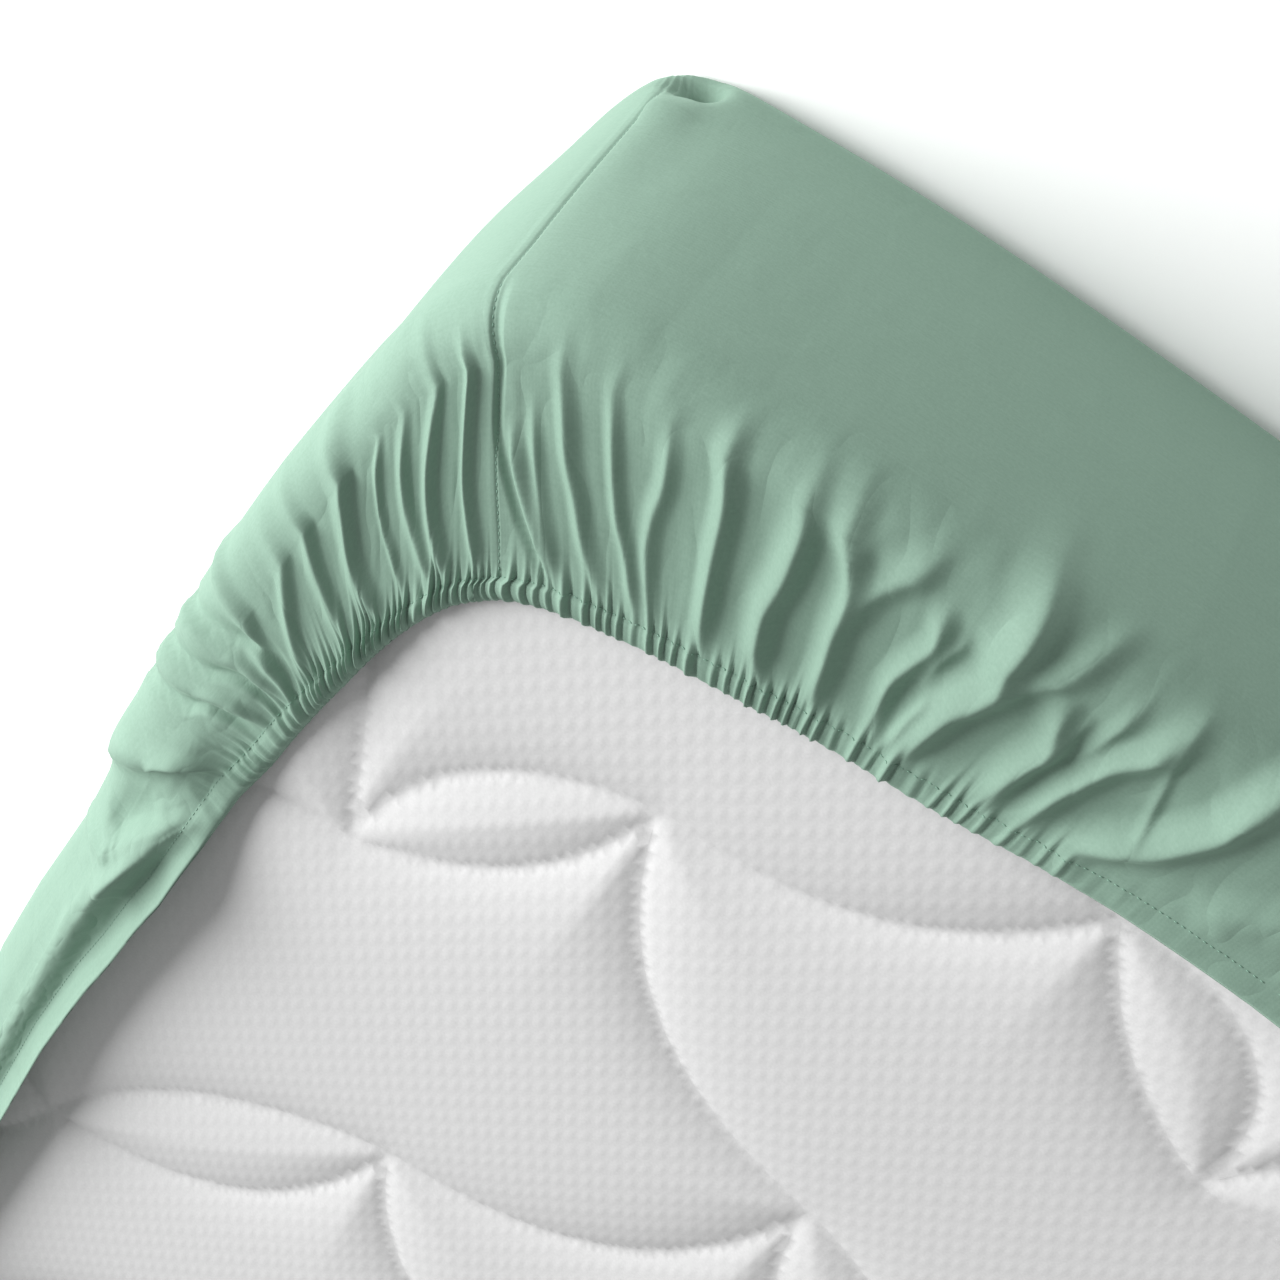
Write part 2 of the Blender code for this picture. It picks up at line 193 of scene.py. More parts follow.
@dataclass(frozen=True)
class Fold:
    """One soft ridge of the cloth, or a trough where its height is below 0.

    Its crest runs through (run, reach) places. "left" is its width towards lower runs.
    """
    height: float
    left: float
    right: float
    crest: tuple[tuple[float, float], ...]
    sharp: float = 0.75
    start: float = 0.25     # share of the crest over which it rises
    keep: float = 0.55      # share of its height left at the crest's end

    def lift(self, run: np.ndarray, down: np.ndarray, spread: "Skirt") -> np.ndarray:
        """How far the fold lifts each place of the cloth.

        Args:
            run: The places' runs.
            down: The places' distances from where the cloth turns in.
            spread: The skirt, which gives the crest's own distances.

        Returns:
            The lifts, in metres.
        """
        knots = np.array(self.crest)
        steps = np.linspace(0, len(knots) - 1, 8 * (len(knots) - 1) + 1)
        line_run = smooth_through(knots[:, 0], steps)
        line_down = spread.charted(line_run, smooth_through(knots[:, 1], steps))
        wide = max(self.left, self.right) * 1.05
        near = ((run > line_run.min() - wide) & (run < line_run.max() + wide)
                & (down > line_down.min() - wide) & (down < line_down.max() + wide))
        lifted = np.zeros_like(run)
        if not near.any():
            return lifted
        x, y = run[near][:, None], down[near][:, None]
        step_x, step_y = np.diff(line_run), np.diff(line_down)
        span = step_x ** 2 + step_y ** 2
        share = np.clip(((x - line_run[:-1]) * step_x + (y - line_down[:-1]) * step_y) / span, 0, 1)
        off_x = x - line_run[:-1] - share * step_x
        off_y = y - line_down[:-1] - share * step_y
        best = np.argmin(off_x ** 2 + off_y ** 2, axis=1)
        row = np.arange(len(best))
        distance = np.hypot(off_x[row, best], off_y[row, best])
        side = step_y[best] * off_x[row, best] - step_x[best] * off_y[row, best]
        along = (best + share[row, best]) / len(span)
        part = np.clip(distance / np.where(side > 0, self.right, self.left), 0, 1)
        round_top = (1 + np.cos(np.pi * part)) / 2
        blunt = (np.hypot(part, CREST_ROUND) - CREST_ROUND) / (math.hypot(1, CREST_ROUND)
                                                               - CREST_ROUND)
        profile = round_top + (np.square(1 - blunt) - round_top) * self.sharp
        rise = ease(along, 0.0, self.start) if self.start else 1.0
        fall = 1 - (1 - self.keep) * ease(along, 0.7, 1.0)
        lifted[near] = self.height * profile * rise * fall
        return lifted


def smooth_through(values: np.ndarray, steps: np.ndarray) -> np.ndarray:
    """Read a smooth curve through values at even knots.

    Args:
        values: The value at each knot.
        steps: Where to read it, in knots.

    Returns:
        The curve's values.
    """
    padded = np.concatenate([[2 * values[0] - values[1]], values, [2 * values[-1] - values[-2]]])
    first = np.minimum(steps.astype(int), len(values) - 2)
    t = steps - first
    a, b, c, d = (padded[first + i] for i in range(4))
    return 0.5 * (2 * b + (c - a) * t + (2 * a - 5 * b + 4 * c - d) * t ** 2
                  + (3 * b - a - 3 * c + d) * t ** 3)


# Heights, widths and crests of the folds on the mattress's end, seam first
END_FOLDS = [
    #    height, left, right, crest as (run, reach)
    Fold(-0.0042, 0.0055, 0.0060, ((0.003, -0.30), (-0.002, 0.00), (-0.004, 0.25), (0.001, 0.40),
                                   (0.010, 0.60), (0.019, 0.75), (0.030, 0.92)), 0.5, 0.15, 0.8),
    Fold(0.0045, 0.0065, 0.0120, ((0.006, 0.20), (0.011, 0.42), (0.019, 0.60), (0.027, 0.75),
                                  (0.037, 0.92)), 0.5),
    Fold(0.0030, 0.0090, 0.0090, ((0.024, 0.10), (0.028, 0.45), (0.033, 0.70), (0.042, 0.92))),
    Fold(0.0050, 0.0110, 0.0110, ((0.044, -0.20), (0.049, 0.15), (0.051, 0.35), (0.056, 0.50),
                                  (0.061, 0.70), (0.070, 0.90))),
    Fold(0.0042, 0.0090, 0.0080, ((0.078, -0.15), (0.080, 0.20), (0.083, 0.50), (0.089, 0.65),
                                  (0.094, 0.85), (0.098, 1.00))),
    Fold(0.0045, 0.0100, 0.0090, ((0.111, -0.12), (0.111, 0.25), (0.105, 0.45), (0.103, 0.65),
                                  (0.106, 0.92))),
    Fold(0.0075, 0.0120, 0.0105, ((0.136, -0.18), (0.142, 0.05), (0.144, 0.20), (0.142, 0.50),
                                  (0.141, 0.75), (0.141, 1.00))),
    Fold(0.0095, 0.0180, 0.0110, ((0.171, -0.28), (0.181, 0.05), (0.181, 0.25), (0.179, 0.40),
                                  (0.175, 0.55), (0.175, 0.70), (0.177, 0.85), (0.182, 1.00))),
    Fold(0.0090, 0.0140, 0.0115, ((0.190, -0.28), (0.200, 0.00), (0.206, 0.10), (0.210, 0.25),
                                  (0.210, 0.45), (0.211, 0.60), (0.212, 0.85), (0.216, 1.00))),
    Fold(0.0060, 0.0140, 0.0100, ((0.240, -0.14), (0.229, 0.03), (0.220, 0.17), (0.216, 0.32))),
    Fold(0.0075, 0.0100, 0.0090, ((0.246, -0.02), (0.250, 0.12), (0.252, 0.22), (0.247, 0.37),
                                  (0.243, 0.50), (0.243, 0.65), (0.247, 0.88)), 0.6),
    Fold(0.0035, 0.0060, 0.0070, ((0.263, 0.08), (0.258, 0.25), (0.255, 0.42))),
    Fold(0.0032, 0.0050, 0.0060, ((0.262, 0.45), (0.258, 0.60), (0.256, 0.85))),
    Fold(0.0135, 0.0200, 0.0115, ((0.262, -0.50), (0.276, -0.20), (0.282, -0.04), (0.281, 0.06),
                                  (0.283, 0.20), (0.279, 0.33), (0.273, 0.45), (0.270, 0.57),
                                  (0.266, 0.78), (0.264, 0.96)), 0.6),
    Fold(0.0070, 0.0120, 0.0100, ((0.318, -0.30), (0.309, -0.16), (0.302, -0.04), (0.295, 0.05),
                                  (0.290, 0.14), (0.289, 0.24)), 0.6, 0.4, 0.2),
    Fold(0.0105, 0.0150, 0.0095, ((0.303, 0.00), (0.310, 0.15), (0.314, 0.33), (0.311, 0.50),
                                  (0.309, 0.65), (0.310, 0.88)), 0.5),
    Fold(0.0032, 0.0060, 0.0060, ((0.318, 0.05), (0.318, 0.20), (0.317, 0.36))),
    Fold(0.0038, 0.0070, 0.0070, ((0.331, -0.12), (0.328, 0.10), (0.324, 0.28))),
    Fold(0.0095, 0.0120, 0.0110, ((0.357, -0.20), (0.350, -0.05), (0.345, 0.05), (0.337, 0.20),
                                  (0.331, 0.43), (0.328, 0.57), (0.327, 0.72), (0.330, 0.92)), 0.7),
    Fold(0.0025, 0.0050, 0.0040, ((0.350, -0.20), (0.357, 0.15), (0.362, 0.38),
                                  (0.364, 0.50)), 0.8),
    Fold(0.0120, 0.0150, 0.0125, ((0.404, -0.40), (0.394, -0.14), (0.387, 0.00), (0.385, 0.14),
                                  (0.378, 0.33), (0.371, 0.48), (0.361, 0.60), (0.352, 0.74),
                                  (0.350, 0.88)), 0.6, 0.2, 0.4),
    Fold(0.0028, 0.0110, 0.0100, ((-0.004, -1.33), (0.012, -1.34), (0.032, -1.38)), 0.3, 0.3, 0.0),
    Fold(0.0040, 0.0200, 0.0160, ((0.398, 0.78), (0.414, 0.58), (0.430, 0.42), (0.448, 0.30)), 0.3),
]

# The same down the long side
SIDE_FOLDS = [
    Fold(0.0050, 0.0090, 0.0080, ((-0.026, -0.12), (-0.028, 0.00), (-0.031, 0.30), (-0.030, 0.50),
                                  (-0.021, 0.80), (-0.016, 0.98))),
    Fold(0.0055, 0.0130, 0.0080, ((-0.049, -0.28), (-0.058, 0.00), (-0.066, 0.30), (-0.065, 0.50),
                                  (-0.057, 0.70), (-0.043, 0.90), (-0.038, 1.00)), 0.5, 0.35),
    Fold(0.0042, 0.0110, 0.0085, ((-0.088, -0.12), (-0.093, 0.20), (-0.091, 0.40), (-0.084, 0.55),
                                  (-0.068, 0.80), (-0.062, 0.95))),
    Fold(0.0030, 0.0070, 0.0060, ((-0.112, -0.05), (-0.119, 0.15), (-0.117, 0.40),
                                  (-0.108, 0.62), (-0.096, 0.85))),
    Fold(0.0068, 0.0180, 0.0090, ((-0.104, -0.42), (-0.121, -0.24), (-0.138, -0.11),
                                  (-0.149, 0.00), (-0.152, 0.20), (-0.151, 0.50), (-0.134, 0.80),
                                  (-0.124, 0.98)), 0.55, 0.50),
    Fold(0.0052, 0.0150, 0.0080, ((-0.176, -0.28), (-0.186, -0.12), (-0.189, 0.00), (-0.189, 0.30),
                                  (-0.184, 0.60), (-0.172, 0.88)), 0.5, 0.40),
    Fold(0.0050, 0.0130, 0.0090, ((-0.205, -0.28), (-0.215, 0.00), (-0.229, 0.35), (-0.235, 0.60),
                                  (-0.240, 0.92)), 0.5, 0.40),
    Fold(0.0055, 0.0130, 0.0090, ((-0.240, -0.40), (-0.257, -0.10), (-0.262, 0.30),
                                  (-0.262, 0.85)), 0.5, 0.40),
    Fold(0.0058, 0.0600, 0.0500, ((-0.330, -0.30), (-0.305, 0.30), (-0.290, 0.95)), 0.0, 0.30),
    Fold(-0.0062, 0.0036, 0.0095, ((-0.302, -0.45), (-0.284, -0.12), (-0.270, 0.10),
                                   (-0.258, 0.45), (-0.255, 0.88)), 0.7, 0.10, 0.7),
    Fold(0.0042, 0.0110, 0.0050, ((-0.300, -0.30), (-0.285, 0.02), (-0.276, 0.30),
                                  (-0.270, 0.85)), 0.4, 0.20),
    Fold(-0.0062, 0.0036, 0.0095, ((-0.330, -0.45), (-0.313, -0.14), (-0.298, 0.08),
                                   (-0.286, 0.40), (-0.281, 0.85)), 0.7, 0.10, 0.7),
    Fold(0.0046, 0.0120, 0.0055, ((-0.330, -0.28), (-0.314, 0.02), (-0.302, 0.35),
                                  (-0.296, 0.85)), 0.4, 0.20),
    Fold(-0.0068, 0.0042, 0.0110, ((-0.362, -0.45), (-0.340, -0.12), (-0.322, 0.12),
                                   (-0.314, 0.50), (-0.308, 0.85)), 0.6, 0.10, 0.7),
    Fold(0.0120, 0.0095, 0.0300, ((-0.424, -0.50), (-0.412, -0.28), (-0.392, -0.10),
                                  (-0.368, 0.02), (-0.354, 0.42), (-0.347, 0.88)), 0.5, 0.62, 0.5),
    Fold(0.0100, 0.0230, 0.0150, ((-0.372, 0.95), (-0.392, 0.80), (-0.420, 0.58), (-0.465, 0.34),
                                  (-0.530, 0.16), (-0.650, 0.06), (-0.800, 0.05)), 0.3, 0.06, 0.6),
    Fold(0.0060, 0.0280, 0.0100, ((-0.398, -0.12), (-0.370, 0.02), (-0.356, 0.42),
                                  (-0.350, 0.80)), 0.2, 0.30, 0.4),
    Fold(0.0060, 0.0500, 0.0300, ((-0.470, -0.02), (-0.450, 0.25), (-0.420, 0.60)), 0.0, 0.35, 0.6),
    Fold(-0.0090, 0.0200, 0.0160, ((-0.440, -0.05), (-0.420, 0.20), (-0.395, 0.50)), 0.3, 0.2, 0.3),
    Fold(0.0052, 0.0090, 0.0070, ((-0.465, -0.35), (-0.440, 0.10), (-0.412, 0.50),
                                  (-0.388, 0.85)), 0.5, 0.3, 0.3),
    Fold(0.0055, 0.0100, 0.0080, ((-0.545, -0.30), (-0.495, 0.15), (-0.435, 0.60),
                                  (-0.392, 0.88)), 0.5, 0.3, 0.3),
]

# How far the hem lies inwards of its even line, as (run, metres)
HEM_MOVES = [
    (-0.600, 0.0000), (-0.540, 0.0035), (-0.500, 0.0080), (-0.440, 0.0120), (-0.400, 0.0090),
    (-0.360, 0.0042), (-0.300, 0.0036), (-0.200, 0.0045), (-0.100, 0.0030), (-0.040, 0.0020),
    (0.000, 0.0035), (0.040, 0.0075), (0.080, 0.0103), (0.140, 0.0112), (0.180, 0.0103),
    (0.220, 0.0080), (0.280, 0.0055), (0.340, 0.0020), (0.380, 0.0010), (0.440, 0.0020),
    (0.520, 0.0000),
]

# How far the side swells out of its even line round a corner, as (run, metres)
SIDE_SWELLS = [
    (-0.640, 0.0000), (-0.600, 0.0015), (-0.540, 0.0000), (-0.470, -0.0040), (-0.430, -0.0030),
    (-0.405, 0.0000), (-0.380, 0.0035), (-0.345, 0.0045), (-0.290, 0.0045), (-0.240, 0.0035),
    (-0.190, 0.0020), (-0.150, 0.0000), (-0.120, -0.0025), (-0.095, -0.0010), (-0.070, 0.0010),
    (0.050, 0.0000), (0.090, -0.0015), (0.140, -0.0015), (0.200, 0.0000), (0.290, 0.0020),
    (0.330, 0.0025), (0.420, 0.0000),
]


class Part(Enum):
    """The stretches of the cloth's section, from the panel up to the hem."""
    PANEL = "panel"
    LOWER_EDGE = "lower edge"
    SIDE = "side"
    UPPER_EDGE = "upper edge"
    TURNED_IN = "turned in"
    TUNNEL = "tunnel"
    UNDER_HEM = "under hem"


@dataclass(frozen=True)
class Skirt:
    """The cloth from the panel up the sides to the hem, and what the elastic does to it."""
    bed: Bed = Bed()
    hem_across: float = 0.058
    hem_along: float = 0.105
    seam_hem_across: float = 0.122
    seam_hem_along: float = 0.172
    elastic_on_end: float = 0.36
    elastic_on_side: float = 0.385
    bow_from: float = 0.8
    bow_to: float = 1.25
    slack_from: float = 0.87
    slack_to: float = 1.2
    tunnel: float = 0.0125          # width of the hem's tunnel
    tunnel_puff: float = 0.0018
    curl: float = 0.016             # the slack hem of the long side stands up by this
    curl_width: float = 0.016
    strip_float: float = 0.006      # and its strip lies this far off the mattress
    sink: float = 0.0030            # no trough is deeper than this, to stay off the mattress
    edge_reach: float = 0.3         # reach of the rounded edge, and of the side below it
    side_reach: float = 1.2
    tip: float = 0.0235             # the corner's foot is pulled out by this
    tip_run: float = 0.010          # where it is pulled
    tip_round: float = 0.010        # rounding of the pulled-out point
    dent: float = 0.0215            # depth of the tuck in the foot, beside the seam
    dent_run: float = 0.015         # its middle, as a run and a height, and its spread each way
    dent_height: float = 0.016
    dent_width: float = 0.0125
    dent_rise: float = 0.009
    pleat: float = 0.0010           # height of the small pleats between the seam and the tuck
    pleat_wave: float = 0.00055     # from pleat to pleat, over two pi
    pleat_run: float = 0.003
    pleat_height: float = 0.015
    pleat_width: float = 0.006
    pleat_rise: float = 0.0065
    tip_left: float = 0.070         # how far the pull spreads towards the long side
    tip_right: float = 0.042        # and along the end
    gather: float = 0.0027          # height of the small gathers
    ridge_at: float = 0.34          # a gather's ridge and crease, in shares of its width
    ridge_width: float = 0.165
    crease_at: float = 0.62
    crease_width: float = 0.070
    crease_depth: float = 0.40      # share of the ridge's height
    roll: float = 0.12              # the cloth rolls between gathers by this share
    edge_flat: float = 0.75         # share that gathers lose at the hem's edge
    loose_from: float = 0.84        # slackness where the gathers begin to end
    loose_to: float = 1.10
    side_sooner: float = 1.08       # on the long side they end sooner by this
    held: float = 0.86              # the elastic flattens folds by this share,
    held_widths: float = 2.6        # up to this many tunnel widths from the hem
    side_gather: float = 0.6        # on the long side they are taller by this share
    seam_drift: float = 0.0055      # the seam wanders this far onto the long side
    seam_drift_width: float = 0.035
    seam_groove: float = 0.0006
    seam_groove_width: float = 0.0009
    allowance: float = 0.0003       # height of the seam allowance's ridge
    allowance_at: float = 0.0045    # beside the seam
    allowance_width: float = 0.0030
    panel_rim: float = 0.06         # width of the panel's outermost strip
    hem_layer: float = 0.0024       # the hem's underside lies this far below its top
    hem_floor: float = 0.0034       # but no lower than this under the mattress's height
    edge_drop: float = 0.0012       # the hem's edge bends down by this
    scallop: float = 0.05           # share of the tunnel's width by which gathers push it

    def slackness(self, run: np.ndarray) -> np.ndarray:
        """0 at the corner seam, 1 at the end of the elastic and beyond."""
        return np.where(run > 0, run / self.elastic_on_end, -run / self.elastic_on_side)

    def hem(self, run: np.ndarray) -> np.ndarray:
        """Find the (across, along) places of the hem's edge, uneven as it lies.

        Args:
            run: Runs from the corner seam.

        Returns:
            One (across, along) row for each run.
        """
        runs, moves = zip(*HEM_MOVES)
        move = np.interp(run, np.array(runs), np.array(moves))
        return self.even_hem(run) + self.bed.inward(run) * move[..., None]

    def even_hem(self, run: np.ndarray) -> np.ndarray:
        """Find the hem's even line, drawn in towards the corner by the elastic.

        Args:
            run: Runs from the corner seam.

        Returns:
            One (across, along) row for each run.
        """
        place = self.bed.outline(run)
        corner = self.bed.outline(np.zeros(1))[0]
        slack = self.slackness(run)
        pull = 1 - ease(slack)
        bow = (self.seam_hem_across - self.hem_across) * (self.seam_hem_along - self.hem_along)
        bow = bow * (1 - ease(slack, self.bow_from, self.bow_to))
        across = place[..., 0] + (self.seam_hem_across - corner[0]) * pull
        along = place[..., 1] + (self.seam_hem_along - corner[1]) * pull
        on_end = self.hem_along + bow / np.maximum(across - self.hem_across, MM)
        on_side = self.hem_across + bow / np.maximum(along - self.hem_along, MM)
        return np.stack([np.where(run > 0, across, on_side),
                         np.where(run > 0, on_end, along)], axis=-1)

    def turned_length(self, run: np.ndarray, hem: np.ndarray) -> np.ndarray:
        """Width of the turned-in cloth up to a hem line at each run."""
        start = self.bed.outline(run) + self.bed.inward(run) * self.bed.upper_radius
        return np.linalg.norm(hem - start, axis=-1)

    def down(self, reach: np.ndarray, length: np.ndarray) -> np.ndarray:
        """Turn reaches into distances from where the cloth turns in, in metres."""
        arc = self.bed.upper_radius * math.pi / 2
        return np.where(reach > 0, reach * length, reach / self.edge_reach * arc)

    def charted(self, run: np.ndarray, reach: np.ndarray) -> np.ndarray:
        """The same for the folds' tables, which are measured up to the even hem."""
        return self.down(reach, self.turned_length(run, self.even_hem(run)))

    def folds_at(self, corner: Corner, run: np.ndarray, reach: np.ndarray) -> np.ndarray:
        """Add up the folds' lifts.

        Args:
            corner: The corner that the runs start from.
            run: The places' runs, one for each column of the cloth.
            reach: The places' reaches.

        Returns:
            The lifts, in metres.
        """
        shifted = run / corner.spacing
        down = self.down(reach, self.turned_length(run, self.hem(run)))
        total = np.zeros_like(run)
        for folds, chosen in ((END_FOLDS, shifted > -0.02), (SIDE_FOLDS, shifted < 0.02)):
            for fold in folds:
                total[chosen] += fold.lift(shifted[chosen], down[chosen], self)
        total = total * corner.lift
        sunk = self.sink * (np.exp(np.minimum(total, 0) / self.sink) - 1)
        return np.where(total < 0, sunk, total)

    def gathers_at(self, corner: Corner, cloth: np.ndarray, from_hem: np.ndarray) -> np.ndarray:
        """Add up the small gathers: narrow ridges with a crease on one side of each.

        Args:
            corner: The corner.
            cloth: Distances along the cloth from the seam.
            from_hem: The places' distances from the hem's edge.

        Returns:
            The lifts, in metres.
        """
        phase = (cloth / corner.gathers + 0.50 * np.sin(cloth / 0.0310)
                 + 0.40 * np.sin(cloth / 0.0173 + 1.0) + 0.22 * np.sin(cloth / 0.0071 + 2.0))
        index = np.floor(phase)
        size = 0.35 + 0.95 * scatter(index, 1.0)
        size = size * (1 + self.side_gather * ease(-cloth, 0.03, 0.12))
        into = np.maximum(from_hem - self.tunnel, 0.0)
        lean = (scatter(index, 2.0) - 0.5) * 0.30 * (from_hem / self.tunnel - 0.5)
        place = phase - index + lean
        ridge = np.exp(-np.square((place - self.ridge_at) / self.ridge_width))
        crease = np.exp(-np.square((place - self.crease_at) / self.crease_width))
        swell = self.roll * np.cos(2 * np.pi * (place - 0.95))
        fade = np.exp(-into / (0.0025 + 0.0075 * scatter(index, 3.0)))
        at_edge = 1 - self.edge_flat * ease(1 - from_hem / self.tunnel, 0.62, 1.0)
        profile = ridge - self.crease_depth * crease + swell
        return self.gather * size * profile * fade * at_edge

    def section(self, corner: Corner, cloth: np.ndarray, part: Part, share: float) -> np.ndarray:
        """Place one row of the cloth round a corner.

        Args:
            corner: The corner.
            cloth: Distances along the cloth from the seam, one for each column.
            part: The stretch of the section that the row is on.
            share: The row's place on that stretch.

        Returns:
            One (x, y, z) row for each column.
        """
        bed = self.bed
        reach = {Part.UPPER_EDGE: -self.edge_reach * (1 - share),
                 Part.SIDE: -self.edge_reach - self.side_reach * (1 - share)}.get(part, share)
        drift = self.seam_drift * ease(reach, -0.45, 0.10) * (1 - 0.6 * ease(reach, 0.4, 0.9))
        run = cloth - drift * np.exp(-np.square(cloth / self.seam_drift_width))
        edge, into = bed.outline(run), bed.inward(run)
        if part in (Part.PANEL, Part.LOWER_EDGE, Part.SIDE, Part.UPPER_EDGE):
            depth, height = self.below_turn(corner, cloth, run, part, share, reach)
            off = run - self.tip_run
            spread = self.tip_left + (self.tip_right - self.tip_left) * ease(off, -0.03, 0.03)
            point = np.hypot(off, self.tip_round) - self.tip_round
            pull = self.tip * np.exp(-(point + height) / spread)
            pull = pull - self.dent * np.exp(
                -np.square((run - self.dent_run) / self.dent_width)
                - np.square((height - self.dent_height) / self.dent_rise))
            pull = pull + self.pleat * np.cos(run / self.pleat_wave) * np.exp(
                -np.square((run - self.pleat_run) / self.pleat_width)
                - np.square((height - self.pleat_height) / self.pleat_rise))
            runs, swells = zip(*SIDE_SWELLS)
            swell = np.interp(run, np.array(runs), np.array(swells)) * ease(height, 0.0, 0.12)
            if part is not Part.PANEL:
                depth = depth - pull - swell * (1 - ease(reach, -0.15, 0.0))
            return corner.world(bed, edge + into * depth[..., None], height)
        return self.above_turn(corner, cloth, run, part, share)

    def below_turn(self, corner: Corner, cloth: np.ndarray, run: np.ndarray, part: Part,
                   share: float, reach: float) -> tuple[np.ndarray, np.ndarray]:
        """Find depth and height of a row on the panel, the side or an edge.

        Args:
            corner: The corner.
            cloth: Distances along the cloth from the seam.
            run: The row's runs.
            part: The stretch of the section.
            share: The row's place on that stretch.
            reach: The row's reach, for its folds.

        Returns:
            The depths in from the outline, and the heights.
        """
        bed = self.bed
        zero = np.zeros_like(run)
        if part is Part.PANEL:
            return zero + bed.lower_radius + (1 - share) * self.panel_rim, zero
        if part is Part.LOWER_EDGE:
            angle = share * math.pi / 2
            return (zero + bed.lower_radius * (1 - math.sin(angle)),
                    zero + bed.lower_radius * (1 - math.cos(angle)))
        folds = self.folds_at(corner, run, zero + reach)
        seam = self.seam_relief(cloth)
        if part is Part.SIDE:
            straight = bed.height - bed.lower_radius - bed.upper_radius
            depth = zero - bed.crown * math.sin(math.pi * share) - folds - seam
            return depth, zero + bed.lower_radius + share * straight
        tilt = share * math.pi / 2
        radius = bed.upper_radius + folds + seam
        return (bed.upper_radius - radius * math.cos(tilt),
                bed.height - bed.upper_radius + radius * math.sin(tilt))

    def seam_relief(self, cloth: np.ndarray) -> np.ndarray:
        """The corner seam: a groove, with the allowance's low ridge beside it."""
        groove = self.seam_groove * np.exp(-np.square(cloth / self.seam_groove_width))
        beside = (cloth + self.allowance_at) / self.allowance_width
        ridge = self.allowance * np.exp(-np.square(beside))
        return ridge - groove

    def above_turn(self, corner: Corner, cloth: np.ndarray, run: np.ndarray, part: Part,
                   share: float) -> np.ndarray:
        """Place a row of the turned-in cloth, its tunnel or the tunnel's underside.

        Args:
            corner: The corner.
            cloth: Distances along the cloth from the seam.
            run: The row's runs.
            part: The stretch of the section.
            share: The row's place on that stretch.

        Returns:
            One (x, y, z) row for each column.
        """
        bed = self.bed
        start = bed.outline(run) + bed.inward(run) * bed.upper_radius
        hem = self.hem(run)
        length = np.linalg.norm(hem - start, axis=-1)
        if part is Part.TURNED_IN:
            from_hem = length - share * (length - self.tunnel)
        elif part is Part.TUNNEL:
            from_hem = np.full_like(length, self.tunnel * (1 - share))
        else:
            from_hem = np.full_like(length, self.tunnel * share * 0.9)
        reach = 1 - from_hem / length
        slack = ease(self.slackness(run), self.slack_from, self.slack_to)
        folds = self.folds_at(corner, run, reach)
        sooner = np.where(run > 0, 1.0, self.side_sooner)
        loose = ease(self.slackness(run) * sooner, self.loose_from, self.loose_to)
        gathers = self.gathers_at(corner, cloth, from_hem) * (1 - loose)
        in_tunnel = np.clip(1 - from_hem / self.tunnel, 0, 1)
        puff = self.tunnel_puff * np.sqrt(np.clip(4 * in_tunnel * (1 - in_tunnel), 0, 1))
        puff = puff * (1 - 0.75 * slack)
        held = ease(self.held_widths - from_hem / self.tunnel, 0.0, 2.0)
        folds = folds * (1 - self.held * held * (1 - slack))
        curl = np.where(run > 0, 0.15, 1.0) * slack
        rise = self.curl * curl * np.square(np.clip(1 - from_hem / self.curl_width, 0, 1))
        rise = rise + self.strip_float * curl * ease(reach, -0.1, 0.4)
        dropped = self.edge_drop * ease(in_tunnel, 0.75, 1.0)
        height = bed.height + folds + gathers + puff + rise - dropped
        place = start + (hem - start) * reach[..., None]
        if part is Part.UNDER_HEM:
            height = height - puff - self.hem_layer
            height = np.maximum(height, bed.height - self.hem_floor)
        pushed = self.scallop * gathers / self.gather * self.tunnel * ease(in_tunnel, 0.2, 1.0)
        place = place + ((hem - start) / length[..., None]) * pushed[..., None]
        height = height + self.seam_relief(cloth) * 0.8
        return corner.world(bed, place, height)


